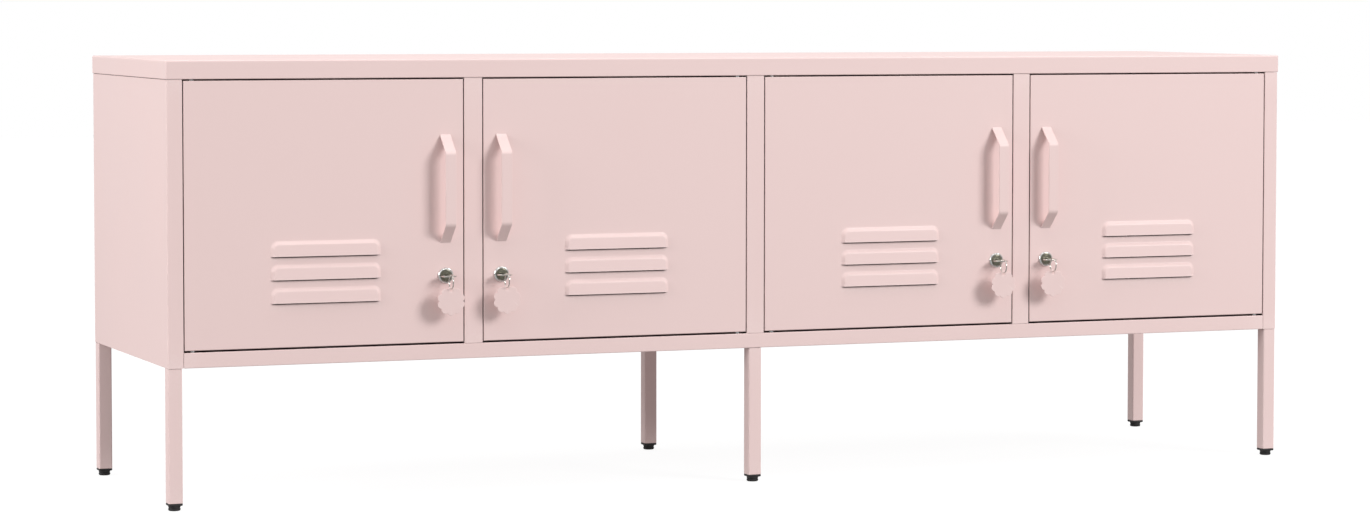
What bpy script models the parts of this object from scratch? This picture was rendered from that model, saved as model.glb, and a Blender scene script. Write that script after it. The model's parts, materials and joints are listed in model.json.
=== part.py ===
"""A long, low locker cabinet of folded sheet steel: four doors side by side, a lid and six square legs.

Frame: metres, +Z up, +X to the right of someone facing the doors, who looks along +Y.
The origin is on the floor, under the middle of the whole object's box.
The doors are numbered from left to right. The outer two hang on the corner posts and the inner two
on the middle stile, so each lock sits beside one of the two other stiles.
"""

import math

import bmesh
import bpy
from mathutils import Matrix, Vector

# ---- Driving dimensions ----------------------------------------------------------------------

# Whole cabinet
BODY_WIDTH = 1.800
BODY_DEPTH = 0.460
BODY_HEIGHT = 0.410  # from the underside of the rail to the underside of the lid
LEG_HEIGHT = 0.203  # from the floor to the underside of the rail
LID_HEIGHT = 0.027
LID_OVERHANG = 0.001
DOOR_COUNT = 4

# Folded sheet
SHEET = 0.001
FIT = 0.0003  # between pieces that touch
POST_WIDTH = 0.0232
STILE_WIDTH = 0.0280
JAMB_PAST_DOOR = 0.003  # how much deeper the posts and stiles are than the doors
RAIL_HEIGHT = 0.022
BACK_FLANGE = 0.012
PANEL_LIP = 0.010  # lip folded on the inner edge of a side panel's returns
FLOOR_LIP = 0.030
LID_LIP = 0.020
CORNER_INSIDE = 0.0015  # inner radius of the corners of the sides and the lid
FOLD_INSIDE = 0.0002  # inner radius of every other fold

# Doors
DOOR_THICKNESS = 0.018
DOOR_LIP = 0.012
DOOR_GAP_SIDE = 0.0014
DOOR_GAP_TOP = 0.0022
DOOR_GAP_BOTTOM = 0.0028

# Louvres in each door
LOUVRE_COUNT = 3
LOUVRE_WIDTH = 0.165
LOUVRE_HEIGHT = 0.023
LOUVRE_PITCH = 0.0335
LOUVRE_DEPTH = 0.0046
LOUVRE_CORNER = 0.011
LOUVRE_FOLD = 0.0030
LOUVRE_BASE = 0.0636  # lowest slit above the door's bottom edge
LOUVRE_TOP_SHARE = 0.30  # depth of a hood at its top against that at its slit

# Pivot pins
PIN_RADIUS = 0.0025
PIN_COLLAR_RADIUS = 0.0036
PIN_CLEARANCE = 0.0004  # from a pin's head to the sheet in front of it
PIN_HEAD = 0.0015
PIN_REACH = 0.009  # how far a pin enters the door beyond its edge
PIN_FROM_EDGE = 0.0124

# Handles
HANDLE_WIDTH = 0.016
HANDLE_THICKNESS = 0.002
HANDLE_SPAN = 0.158
HANDLE_FLAT = 0.106
HANDLE_PROUD = 0.027
HANDLE_BEND = 0.008
HANDLE_BASE = 0.1452  # lower end above the door's bottom edge
GRIP_FROM_EDGE = 0.0273  # centre line of the handle and the lock, from the door's free edge

# Cam locks
LOCK_HEIGHT = 0.0972  # axis above the door's bottom edge
BEZEL_RADIUS = 0.01175
BEZEL_THICKNESS = 0.0028
BEZEL_EDGE = 0.0012
HOUSING_RADIUS = 0.0095
CAM_CLEARANCE = 0.001  # from the jambs to the back of a lock housing
NUT_RADIUS = 0.0125
NUT_THICKNESS = 0.004
PLUG_HEAD_RADIUS = 0.0084
PLUG_HEAD_LENGTH = 0.008
PLUG_SHAFT_RADIUS = 0.0060
PLUG_RECESS = 0.0005
TAIL_WIDTH = 0.0070
TAIL_LENGTH = 0.0043
CAM_THICKNESS = 0.0025
CAM_WIDTH = 0.016
CAM_REACH = 0.038

# Keys, rings and tags
KEY_THICKNESS = 0.0018
KEY_BLADE_WIDTH = 0.0075
KEY_BLADE_LENGTH = 0.0190
KEY_NOTCH = 0.0012
KEY_NOTCHES = 4
KEY_COLLAR = 0.0030  # plain length of the blade next to the bow
KEY_TIP = 0.0020
KEY_BOW_RADIUS = 0.0112
KEY_BOW_REACH = 0.0272  # from the door's face to the end of the bow
KEY_HOLE_RADIUS = 0.0040
KEY_RIM = 0.0024  # metal between the hole and the end of the bow
RING_RADIUS = 0.0102
RING_WIRE = 0.0008
RING_SLACK = 0.0007
TAG_RADIUS = 0.0210
TAG_THICKNESS = 0.0012
TAG_LOBES = 10
TAG_LOBE_SWELL = 1.3
TAG_HOLE_RADIUS = 0.0025
TAG_RIM = 0.0025

# Legs and feet
LEG_WIDTH = 0.0205
LEG_WALL = 0.0015
LEG_INSET = 0.0006
LEG_CORNER = 0.0015
STUD_RADIUS = 0.0040
STUD_LENGTH = 0.011
FOOT_VISIBLE = 0.0108
FOOT_FLANGE = 0.0030
FOOT_RADIUS = 0.00875
FOOT_EDGE = 0.0015
FOOT_PLUG = 0.014

# ---- Places worked out from them ---------------------------------------------------------------

CORNER_RADIUS = CORNER_INSIDE + SHEET
FOLD_RADIUS = FOLD_INSIDE + SHEET
RING_PROUD = KEY_BOW_REACH - KEY_RIM / 2 + RING_RADIUS + RING_WIRE
FRONT = (RING_PROUD - BODY_DEPTH - LID_OVERHANG) / 2
BACK = FRONT + BODY_DEPTH
RIGHT = BODY_WIDTH / 2
LEFT = -RIGHT
BASE = LEG_HEIGHT
RAIL_TOP = BASE + RAIL_HEIGHT
LID_BOTTOM = BASE + BODY_HEIGHT
TOP = LID_BOTTOM + LID_HEIGHT

DOOR_WIDTH = (
    BODY_WIDTH - 2 * POST_WIDTH - (DOOR_COUNT - 1) * STILE_WIDTH - 2 * DOOR_COUNT * DOOR_GAP_SIDE
) / DOOR_COUNT
DOOR_BOTTOM = RAIL_TOP + DOOR_GAP_BOTTOM
DOOR_TOP = LID_BOTTOM - DOOR_GAP_TOP
BAY_PITCH = DOOR_WIDTH + 2 * DOOR_GAP_SIDE + STILE_WIDTH
JAMB_DEPTH = DOOR_THICKNESS + JAMB_PAST_DOOR
HOUSING_LENGTH = JAMB_DEPTH + CAM_CLEARANCE
LOCK_Z = DOOR_BOTTOM + LOCK_HEIGHT
PIVOT_Y = FRONT + SHEET + PIN_CLEARANCE + PIN_COLLAR_RADIUS
CAM_Y = FRONT + HOUSING_LENGTH + FIT  # front face of the cams
RING_SPOT_Y = FRONT - KEY_BOW_REACH + KEY_RIM / 2  # middle of the bow's rim, which carries the ring
RING_TOP_Z = LOCK_Z + KEY_THICKNESS / 2 + RING_SLACK + RING_WIRE
RING_Z = RING_TOP_Z - RING_RADIUS
TAG_PIVOT_Z = RING_Z - RING_RADIUS

PINK = (0.815, 0.600, 0.585, 1.0)
BLACK = (0.012, 0.012, 0.013, 1.0)
CHROME = (0.78, 0.78, 0.76, 1.0)
NICKEL = (0.52, 0.50, 0.46, 1.0)
ZINC = (0.62, 0.62, 0.60, 1.0)

EPSILON = 0.002  # how far a cutter runs past the face that it opens

# Facets of round pieces
LOCK_SIDES = 20
ROUND_SIDES = 16
SMALL_SIDES = 12


# ---- Scene and small tools -----------------------------------------------------------------------


def clear_scene():
    for thing in list(bpy.data.objects):
        bpy.data.objects.remove(thing, do_unlink=True)


def new_collection(name):
    collection = bpy.data.collections.new(name)
    bpy.context.scene.collection.children.link(collection)
    return collection


def new_material(name, colour, roughness, metallic):
    material = bpy.data.materials.new(name)
    material.use_nodes = True
    shader = material.node_tree.nodes["Principled BSDF"]
    shader.inputs["Base Color"].default_value = colour
    shader.inputs["Roughness"].default_value = roughness
    shader.inputs["Metallic"].default_value = metallic
    return material


def world_spot(empty):
    """World position of an empty that is only ever moved."""
    spot = Vector(empty.location)
    while empty.parent:
        empty = empty.parent
        spot += Vector(empty.location)
    return spot


def put(piece, spot, parent=None):
    """Place a piece at a world position, under an empty where it has one."""
    piece.location = Vector(spot)
    if parent:
        piece.parent = parent
        piece.location -= world_spot(parent)


def as_part(name, data, material):
    """A named sub-part in the cabinet's collection."""
    piece = bpy.data.objects.new(name, data)
    piece.data.materials.append(material)
    cabinet.objects.link(piece)
    return piece


def as_cutter(name, data):
    """A piece that only shapes others."""
    piece = bpy.data.objects.new(name, data)
    piece.hide_render = True
    piece.display_type = "WIRE"
    cutters.objects.link(piece)
    return piece


def as_axis(name, spot, parent=None):
    """An empty that marks a joint."""
    empty = bpy.data.objects.new(name, None)
    empty.empty_display_size = 0.02
    cabinet.objects.link(empty)
    put(empty, spot, parent)
    return empty


def combine(piece, tool, operation):
    step = piece.modifiers.new(tool.name, "BOOLEAN")
    step.operation = operation
    step.solver = "EXACT"
    step.object = tool


def cut(piece, tool):
    combine(piece, tool, "DIFFERENCE")


def join(piece, tool):
    combine(piece, tool, "UNION")


def box_mesh(name, low, high, rounded=None, radius=0.0, segments=2):
    """A box between two corners. rounded picks the edges to round, by the middle of each edge."""
    low = Vector(low)
    high = Vector(high)
    shape = bmesh.new()
    bmesh.ops.create_cube(shape, size=1.0)
    size = high - low
    middle = (high + low) / 2
    bmesh.ops.transform(shape, matrix=Matrix.Translation(middle) @ Matrix.Diagonal((*size, 1)), verts=shape.verts)
    if rounded:
        chosen = [e for e in shape.edges if rounded((e.verts[0].co + e.verts[1].co) / 2 - middle)]
        bmesh.ops.bevel(shape, geom=chosen, offset=radius, segments=segments, profile=0.5, affect="EDGES")
    data = bpy.data.meshes.new(name)
    shape.to_mesh(data)
    shape.free()
    return data


def rod_mesh(name, radius, length, sides):
    """A round rod along Z, centred."""
    shape = bmesh.new()
    bmesh.ops.create_cone(
        shape, cap_ends=True, segments=sides, radius1=radius, radius2=radius, depth=length
    )
    data = bpy.data.meshes.new(name)
    shape.to_mesh(data)
    shape.free()
    return data


def turned(name, profile, closed, sides, material):
    """A profile of (radius, height) points, outer side top to bottom, turned about Z."""
    data = bpy.data.meshes.new(name)
    count = len(profile)
    edges = [(i, i + 1) for i in range(count - 1)]
    if closed:
        edges.append((count - 1, 0))
    data.from_pydata([(r, 0.0, z) for r, z in profile], edges, [])
    piece = as_part(name, data, material)
    screw = piece.modifiers.new("turn", "SCREW")
    screw.steps = sides
    screw.render_steps = sides
    screw.use_merge_vertices = True
    screw.merge_threshold = 0.00001
    screw.use_smooth_shade = True
    return piece


def arc(centre, radius, start, end, steps):
    """Points on an arc between two angles in degrees, ends included."""
    points = []
    for i in range(steps + 1):
        angle = math.radians(start + (end - start) * i / steps)
        points.append((centre[0] + radius * math.cos(angle), centre[1] + radius * math.sin(angle)))
    return points


def plate(name, outlines, thickness, material):
    """A flat plate from closed outlines in its own XY plane: the outer edge, then any holes."""
    data = bpy.data.curves.new(name, "CURVE")
    data.dimensions = "2D"
    data.fill_mode = "BOTH"
    data.extrude = thickness / 2
    for outline in outlines:
        spline = data.splines.new("POLY")
        spline.points.add(len(outline) - 1)
        for point, (x, y) in zip(spline.points, outline):
            point.co = (x, y, 0.0, 1.0)
        spline.use_cyclic_u = True
    return as_part(name, data, material)


def at_edge(offset, axes, side=None):
    """True for the middle of an edge that is off centre along each of the given axes."""
    far = all(abs(offset[axis]) > 1e-6 for axis in axes)
    return far and (side is None or offset[side[0]] * side[1] > 1e-6)


# ---- Body ------------------------------------------------------------------------------------------


def tray(name, low, high, open_axis, open_side, lips, rounded, radius, material):
    """A folded pan: a box hollowed by one sheet, open on one side inside its lips.

    lips gives, for each of the two other axes, the lip widths at its low and high ends.
    """
    piece = as_part(name, box_mesh(name, (0, 0, 0), high - low, rounded, radius), material)
    hollow = as_cutter(
        name + "_hollow",
        box_mesh(name + "_hollow", (SHEET,) * 3, (high - low) - Vector((SHEET,) * 3), rounded, radius - SHEET),
    )
    mouth_low = Vector((0.0, 0.0, 0.0))
    mouth_high = high - low
    for axis, (first, second) in lips.items():
        mouth_low[axis] += first
        mouth_high[axis] -= second
    if open_side > 0:
        mouth_low[open_axis] = mouth_high[open_axis] - 2 * SHEET
        mouth_high[open_axis] += EPSILON
    else:
        mouth_high[open_axis] = mouth_low[open_axis] + 2 * SHEET
        mouth_low[open_axis] -= EPSILON
    mouth = as_cutter(name + "_mouth", box_mesh(name + "_mouth", mouth_low, mouth_high))
    for thing in (piece, hollow, mouth):
        put(thing, low)
    cut(piece, hollow)
    cut(piece, mouth)
    return piece


def side_panel(name, side):
    """An outer wall bent round into the corner post in front, with lips all round its inner edge."""
    near = RIGHT - POST_WIDTH
    low = Vector((near if side > 0 else LEFT, FRONT, BASE))
    high = Vector((RIGHT if side > 0 else -near, BACK, LID_BOTTOM - FIT))
    lips = {1: (JAMB_DEPTH, PANEL_LIP), 2: (PANEL_LIP, PANEL_LIP)}
    panel = tray(
        name, low, high, 0, -side, lips, lambda m: at_edge(m, (0, 1), (0, side)), CORNER_RADIUS, material=pink
    )
    for y in (leg_rows()[0], leg_rows()[-1]):
        cut(panel, stud_hole(name, side * leg_columns()[-1], y))
    return panel


def stud_hole(name, x, y):
    hole = as_cutter(name + "_stud_hole", rod_mesh(name + "_stud_hole", STUD_RADIUS + FIT, 4 * SHEET, SMALL_SIDES))
    put(hole, (x, y, BASE))
    return hole


def floor_pan():
    """The cabinet's floor. Its front skirt is the rail under the doors."""
    low = Vector((LEFT + POST_WIDTH + FIT, FRONT, BASE))
    high = Vector((RIGHT - POST_WIDTH - FIT, BACK - SHEET - FIT, RAIL_TOP))
    lips = {0: (FLOOR_LIP, FLOOR_LIP), 1: (FLOOR_LIP, FLOOR_LIP)}
    pan = tray(
        "floor_pan", low, high, 2, -1, lips, lambda m: at_edge(m, (1, 2), (1, -1)), FOLD_RADIUS, material=pink
    )
    for y in (leg_rows()[0], leg_rows()[-1]):
        cut(pan, stud_hole("floor_pan", 0.0, y))
    for number in range(DOOR_COUNT):
        cut(pan, pin_hole("floor_pan", pivot_x(number), RAIL_TOP))
    return pan


def pin_hole(name, x, z):
    hole = as_cutter(name + "_pin_hole", rod_mesh(name + "_pin_hole", PIN_RADIUS + FIT, 4 * SHEET, SMALL_SIDES))
    put(hole, (x, PIVOT_Y, z))
    return hole


def lid():
    """A deep cap over the body, with lips turned in below. Its front lip takes the upper pins."""
    low = Vector((LEFT - LID_OVERHANG, FRONT - LID_OVERHANG, LID_BOTTOM))
    high = Vector((RIGHT + LID_OVERHANG, BACK + LID_OVERHANG, TOP))
    lips = {0: (LID_LIP, LID_LIP), 1: (LID_LIP, LID_LIP)}

    def outer_edges(middle):
        return at_edge(middle, (0, 1)) or middle[2] > 1e-6

    piece = tray("lid", low, high, 2, -1, lips, outer_edges, CORNER_RADIUS, material=pink)
    for number in range(DOOR_COUNT):
        cut(piece, pin_hole("lid", pivot_x(number), LID_BOTTOM))
    return piece


def back_panel():
    """A shallow pan that closes the back, its flanges turned into the cabinet."""
    low = Vector((LEFT + POST_WIDTH + FIT, BACK - BACK_FLANGE, RAIL_TOP + FIT))
    high = Vector((RIGHT - POST_WIDTH - FIT, BACK, LID_BOTTOM - FIT))
    piece = as_part("back_panel", box_mesh("back_panel", (0, 0, 0), high - low), pink)
    hollow_low = Vector((SHEET, -EPSILON, SHEET))
    hollow_high = (high - low) - Vector((SHEET,) * 3)
    hollow = as_cutter("back_panel_hollow", box_mesh("back_panel_hollow", hollow_low, hollow_high))
    for thing in (piece, hollow):
        put(thing, low)
    cut(piece, hollow)
    return piece


def divider(name, x):
    """A stile, folded as a channel, with the partition sheet that stands behind its middle."""
    half = STILE_WIDTH / 2
    web = SHEET / 2
    depth = BACK - BACK_FLANGE - FIT - FRONT
    corner = FOLD_RADIUS
    outline = arc((half - corner, corner), corner, -90, 0, 2)
    outline += [(half, JAMB_DEPTH), (half - SHEET, JAMB_DEPTH), (half - SHEET, SHEET), (web, SHEET)]
    outline += [(web, depth), (-web, depth)]
    outline += [(-web, SHEET), (SHEET - half, SHEET), (SHEET - half, JAMB_DEPTH), (-half, JAMB_DEPTH)]
    outline += arc((corner - half, corner), corner, 180, 270, 2)
    height = LID_BOTTOM - RAIL_TOP - 2 * FIT
    piece = plate(name, [outline], height, pink)
    put(piece, (x, FRONT, (LID_BOTTOM + RAIL_TOP) / 2))


# ---- Legs and feet -----------------------------------------------------------------------------------


def leg_columns():
    """The middles of the left, middle and right legs across the cabinet."""
    outer = RIGHT - LEG_INSET - LEG_WIDTH / 2
    return (-outer, 0.0, outer)


def leg_rows():
    """The middles of the front and rear legs."""
    inset = LEG_INSET + LEG_WIDTH / 2
    return (FRONT + inset, BACK - inset)


def leg(name, x, y):
    """A square tube, closed at the top, with a stud that passes up into the body."""
    half = LEG_WIDTH / 2
    inner = half - LEG_WALL
    top = BASE - FIT - FOOT_VISIBLE
    tube = box_mesh(name, (-half, -half, 0), (half, half, top), lambda m: at_edge(m, (0, 1)), LEG_CORNER)
    piece = as_part(name, tube, pink)
    bore = box_mesh(name + "_bore", (-inner, -inner, -EPSILON), (inner, inner, top - LEG_WALL))
    bore = as_cutter(name + "_bore", bore)
    stud = as_cutter(name + "_stud", rod_mesh(name + "_stud", STUD_RADIUS, STUD_LENGTH, SMALL_SIDES))
    put(piece, (x, y, FOOT_VISIBLE))
    put(bore, (x, y, FOOT_VISIBLE))
    put(stud, (x, y, BASE - FIT - LEG_WALL / 2 + STUD_LENGTH / 2))
    cut(piece, bore)
    join(piece, stud)


def foot(name, x, y):
    """A plastic insert: a plug inside the tube, a flange under it and a round glide."""
    half = LEG_WIDTH / 2
    plug_half = half - LEG_WALL - FIT
    flange_top = FOOT_VISIBLE - FIT
    flange_bottom = flange_top - FOOT_FLANGE
    glide_top = flange_bottom + FOOT_FLANGE / 2
    profile = [(0.0, glide_top), (FOOT_RADIUS, glide_top)]
    profile += [(FOOT_RADIUS, FOOT_EDGE)]
    profile += arc((FOOT_RADIUS - FOOT_EDGE, FOOT_EDGE), FOOT_EDGE, -30, -90, 2)
    profile += [(0.0, 0.0)]
    piece = turned(name, profile, False, ROUND_SIDES, black)
    flange = box_mesh(
        name + "_flange",
        (-half, -half, flange_bottom),
        (half, half, flange_top),
        lambda m: at_edge(m, (0, 1)),
        LEG_CORNER,
    )
    plug = box_mesh(
        name + "_plug",
        (-plug_half, -plug_half, flange_bottom + FOOT_FLANGE / 3),
        (plug_half, plug_half, flange_top + FOOT_PLUG),
    )
    put(piece, (x, y, 0))
    for tool in (as_cutter(name + "_flange", flange), as_cutter(name + "_plug", plug)):
        put(tool, (x, y, 0))
        join(piece, tool)


# ---- Doors -------------------------------------------------------------------------------------------


def door_left(number):
    return LEFT + POST_WIDTH + DOOR_GAP_SIDE + number * BAY_PITCH


def hinge_side(number):
    """-1 where a door's pins are at its left edge, +1 where they are at its right."""
    return -1 if number % 2 == 0 else 1


def from_edge(number, side, distance):
    """A place across the cabinet, measured inwards from one side edge of a door."""
    if side < 0:
        return door_left(number) + distance
    return door_left(number) + DOOR_WIDTH - distance


def pivot_x(number):
    return from_edge(number, hinge_side(number), PIN_FROM_EDGE)


def grip_x(number):
    return from_edge(number, -hinge_side(number), GRIP_FROM_EDGE)


def hood_mesh(name, wall, front_shift, back, overrun):
    """A pressed hood, rounded above and at its sides and deepest at its lower edge.

    wall shrinks it all round, front_shift moves its face back, overrun lowers its lower edge.
    """
    half = LOUVRE_WIDTH / 2 - wall
    shape = bmesh.new()
    bmesh.ops.create_cube(shape, size=1.0)
    height = LOUVRE_HEIGHT - wall + overrun
    size = Vector((2 * half, LOUVRE_DEPTH, height))
    middle = Vector((0.0, -LOUVRE_DEPTH / 2, height / 2 - overrun))
    bmesh.ops.transform(shape, matrix=Matrix.Translation(middle) @ Matrix.Diagonal((*size, 1)), verts=shape.verts)
    corners = [e for e in shape.edges if e.calc_length() < LOUVRE_DEPTH * 1.01 and e.verts[0].co.z > 0.01]
    bmesh.ops.bevel(
        shape, geom=corners, offset=LOUVRE_CORNER - wall, segments=4, profile=0.5, affect="EDGES"
    )
    folds = []
    for edge in shape.edges:
        on_face = all(v.co.y < -LOUVRE_DEPTH + 1e-6 for v in edge.verts)
        at_slit = all(v.co.z < 1e-6 for v in edge.verts)
        if on_face and not at_slit and len(edge.link_faces) == 2:
            folds.append(edge)
    bmesh.ops.bevel(shape, geom=folds, offset=LOUVRE_FOLD, segments=2, profile=0.5, affect="EDGES")
    for vertex in shape.verts:
        drop = min(1.0, (LOUVRE_HEIGHT - vertex.co.z) / LOUVRE_HEIGHT)
        share = LOUVRE_TOP_SHARE + (1.0 - LOUVRE_TOP_SHARE) * drop
        if vertex.co.y < -1e-6:
            vertex.co.y = vertex.co.y * share + front_shift
        else:
            vertex.co.y = back
    data = bpy.data.meshes.new(name)
    shape.to_mesh(data)
    shape.free()
    return data


def door_panel(name, number, axis):
    """A folded pan with three pressed louvres and holes for its pins and its lock."""
    low = Vector((door_left(number), FRONT, DOOR_BOTTOM))
    high = low + Vector((DOOR_WIDTH, DOOR_THICKNESS, DOOR_TOP - DOOR_BOTTOM))
    lips = {0: (DOOR_LIP, DOOR_LIP), 2: (DOOR_LIP, DOOR_LIP)}
    panel = tray(name, low, high, 1, 1, lips, lambda m: m[1] < -1e-6, FOLD_RADIUS, material=pink)
    put(panel, low, axis)
    for row in range(LOUVRE_COUNT):
        spot = (door_left(number) + DOOR_WIDTH / 2, FRONT, DOOR_BOTTOM + LOUVRE_BASE + row * LOUVRE_PITCH)
        hood = as_cutter(f"{name}_hood_{row}", hood_mesh(name + "_hood", 0.0, 0.0, SHEET / 2, 0.0))
        gap = as_cutter(
            f"{name}_hood_gap_{row}", hood_mesh(name + "_hood_gap", SHEET, SHEET, 2.5 * SHEET, SHEET / 2)
        )
        put(hood, spot)
        put(gap, spot)
        join(panel, hood)
        cut(panel, gap)
    height = DOOR_TOP - DOOR_BOTTOM
    pins = as_cutter(name + "_pins", rod_mesh(name + "_pins", PIN_RADIUS + FIT, height + 2 * EPSILON, SMALL_SIDES))
    put(pins, (pivot_x(number), PIVOT_Y, DOOR_BOTTOM + height / 2))
    cut(panel, pins)
    hole = as_cutter(name + "_lock_hole", rod_mesh(name + "_lock_hole", HOUSING_RADIUS + FIT, 4 * SHEET, LOCK_SIDES))
    hole.rotation_euler = (math.pi / 2, 0, 0)
    put(hole, (grip_x(number), FRONT, LOCK_Z))
    cut(panel, hole)


def pivot_pin(name, number, height, upward):
    """A pin with a head on one side of its sheet and a collar on the other, in the gap to the door."""
    gap = DOOR_GAP_BOTTOM if upward else DOOR_GAP_TOP
    head = -SHEET - FIT
    reach = gap + SHEET + PIN_REACH
    profile = [
        (0.0, reach),
        (PIN_RADIUS, reach),
        (PIN_RADIUS, gap - FIT),
        (PIN_COLLAR_RADIUS, gap - FIT),
        (PIN_COLLAR_RADIUS, FIT),
        (PIN_RADIUS, FIT),
        (PIN_RADIUS, head),
        (PIN_COLLAR_RADIUS, head),
        (PIN_COLLAR_RADIUS, head - PIN_HEAD),
        (0.0, head - PIN_HEAD),
    ]
    pin = turned(name, profile, False, SMALL_SIDES, zinc)
    if not upward:
        pin.rotation_euler = (math.pi, 0, 0)
    put(pin, (pivot_x(number), PIVOT_Y, height))


def handle(name, number, axis):
    """A flat strip bent into a shallow bow, its ends cut to the door's face."""
    centre_y = -HANDLE_PROUD + HANDLE_THICKNESS / 2
    rise = (HANDLE_SPAN - HANDLE_FLAT) / 2
    run = HANDLE_PROUD
    slope = math.atan2(run, rise)  # angle between the legs and the door's face
    half = HANDLE_THICKNESS / 2
    # The centre line's corner lies inside the outer one by the half thickness, mitred.
    corner_z = HANDLE_FLAT / 2 - half * math.tan(slope / 2)
    sides = []
    for offset in (half, -half):
        radius = HANDLE_BEND + offset
        start = HANDLE_BEND * math.tan(slope / 2)
        bend_centre = (centre_y + HANDLE_BEND, corner_z - start)
        bend = arc(bend_centre, radius, 180, 180 - math.degrees(slope), 4)
        last_y, last_z = bend[-1]
        face_y = -FIT
        end = (face_y, last_z + (face_y - last_y) / math.tan(slope))
        top_half = bend + [end]
        sides.append([(y, -z) for y, z in reversed(top_half)] + top_half)
    outline = sides[0] + sides[1][::-1]
    piece = plate(name, [outline], HANDLE_WIDTH, pink)
    # The outline lies in the plate's XY plane: its x is world y and its y is world z.
    piece.rotation_euler = (math.pi / 2, 0, math.pi / 2)
    put(piece, (grip_x(number), FRONT, DOOR_BOTTOM + HANDLE_BASE + HANDLE_SPAN / 2), axis)


# ---- Locks, keys and tags ------------------------------------------------------------------------------


def lock_housing(name, number, axis):
    """Bezel, threaded barrel and round nut, bored in two steps for the plug."""
    wide = PLUG_HEAD_RADIUS + FIT
    narrow = PLUG_SHAFT_RADIUS + FIT
    step = BEZEL_THICKNESS - PLUG_RECESS - PLUG_HEAD_LENGTH - FIT
    nut_top = -SHEET - FIT
    profile = [
        (wide, BEZEL_THICKNESS),
        (BEZEL_RADIUS - BEZEL_EDGE, BEZEL_THICKNESS),
        (BEZEL_RADIUS, BEZEL_THICKNESS - BEZEL_EDGE),
        (BEZEL_RADIUS, FIT),
        (HOUSING_RADIUS, FIT),
        (HOUSING_RADIUS, nut_top),
        (NUT_RADIUS, nut_top),
        (NUT_RADIUS, nut_top - NUT_THICKNESS),
        (HOUSING_RADIUS, nut_top - NUT_THICKNESS),
        (HOUSING_RADIUS, -HOUSING_LENGTH),
        (narrow, -HOUSING_LENGTH),
        (narrow, step),
        (wide, step),
    ]
    housing = turned(name, profile, True, LOCK_SIDES, chrome)
    housing.rotation_euler = (math.pi / 2, 0, 0)
    put(housing, (grip_x(number), FRONT, LOCK_Z), axis)


def lock_plug(name, number, axis):
    """The turning core, with a keyway in front and a square tail for the cam."""
    face = BEZEL_THICKNESS - PLUG_RECESS
    end = -HOUSING_LENGTH
    profile = [
        (0.0, face),
        (PLUG_HEAD_RADIUS, face),
        (PLUG_HEAD_RADIUS, face - PLUG_HEAD_LENGTH),
        (PLUG_SHAFT_RADIUS, face - PLUG_HEAD_LENGTH),
        (PLUG_SHAFT_RADIUS, end),
        (0.0, end),
    ]
    plug = turned(name, profile, False, LOCK_SIDES, nickel)
    half = TAIL_WIDTH / 2
    tail = as_cutter(
        name + "_tail", box_mesh(name + "_tail", (-half, -half, end - TAIL_LENGTH), (half, half, end + SHEET))
    )
    key_half = KEY_BLADE_WIDTH / 2 + FIT
    slit = KEY_THICKNESS / 2 + FIT
    way = as_cutter(
        name + "_keyway",
        box_mesh(
            name + "_keyway",
            (-key_half, -slit, face - KEY_BLADE_LENGTH - 2 * FIT),
            (key_half, slit, face + EPSILON),
        ),
    )
    for thing in (plug, tail, way):
        thing.rotation_euler = (math.pi / 2, 0, 0)
        put(thing, (grip_x(number), FRONT, LOCK_Z))
    put(plug, (grip_x(number), FRONT, LOCK_Z), axis)
    join(plug, tail)
    cut(plug, way)


def lock_cam(name, number, axis):
    """A flat bar on the plug's tail, standing up while the lock is open."""
    round_end = CAM_WIDTH / 2
    outline = arc((0, 0), round_end, 180, 360, 10)
    outline += arc((0, CAM_REACH - round_end), round_end, 0, 180, 10)
    half = TAIL_WIDTH / 2 + FIT
    hole = [(-half, -half), (-half, half), (half, half), (half, -half)]
    cam = plate(name, [outline, hole], CAM_THICKNESS, zinc)
    cam.rotation_euler = (math.pi / 2, 0, 0)
    put(cam, (grip_x(number), CAM_Y + CAM_THICKNESS / 2, LOCK_Z), axis)


def key(name, number, axis):
    """Blade and round bow, lying flat, the ring's hole close to the bow's end."""
    half = KEY_BLADE_WIDTH / 2
    face = -(BEZEL_THICKNESS - PLUG_RECESS)
    tip = face + KEY_BLADE_LENGTH
    bow_y = -KEY_BOW_REACH + KEY_BOW_RADIUS
    shoulder = math.degrees(math.asin(half / KEY_BOW_RADIUS))
    outline = arc((0, bow_y), KEY_BOW_RADIUS, 90 + shoulder, 450 - shoulder, 22)
    pitch = (KEY_BLADE_LENGTH - KEY_COLLAR - KEY_TIP) / KEY_NOTCHES
    for i in range(KEY_NOTCHES):
        foot_y = face + KEY_COLLAR + i * pitch
        depth = KEY_NOTCH * (0.6 + 0.4 * (i % 2))
        outline += [(half, foot_y), (half - depth, foot_y + pitch * 0.4), (half, foot_y + pitch * 0.8)]
    outline += [(half - KEY_TIP, tip), (KEY_TIP - half, tip), (-half, tip - KEY_TIP)]
    if hinge_side(number) > 0:
        outline = [(-x, y) for x, y in reversed(outline)]
    hole_y = -KEY_BOW_REACH + KEY_RIM + KEY_HOLE_RADIUS
    hole = arc((0, hole_y), KEY_HOLE_RADIUS, 360, 0, SMALL_SIDES)[:-1]
    piece = plate(name, [outline, hole], KEY_THICKNESS, steel)
    put(piece, (grip_x(number), FRONT, LOCK_Z), axis)


def key_ring(name, number, axis):
    """A wire ring hanging over the rim of the bow, square to the door."""
    bpy.ops.mesh.primitive_torus_add(
        major_segments=24, minor_segments=6, major_radius=RING_RADIUS, minor_radius=RING_WIRE
    )
    ring = bpy.context.object
    ring.name = name
    ring.data.name = name
    ring.data.materials.append(steel)
    for collection in list(ring.users_collection):
        collection.objects.unlink(ring)
    cabinet.objects.link(ring)
    ring.rotation_euler = (0, math.pi / 2, 0)
    ring.data.shade_smooth()
    put(ring, (grip_x(number), RING_SPOT_Y, RING_Z), axis)


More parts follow.
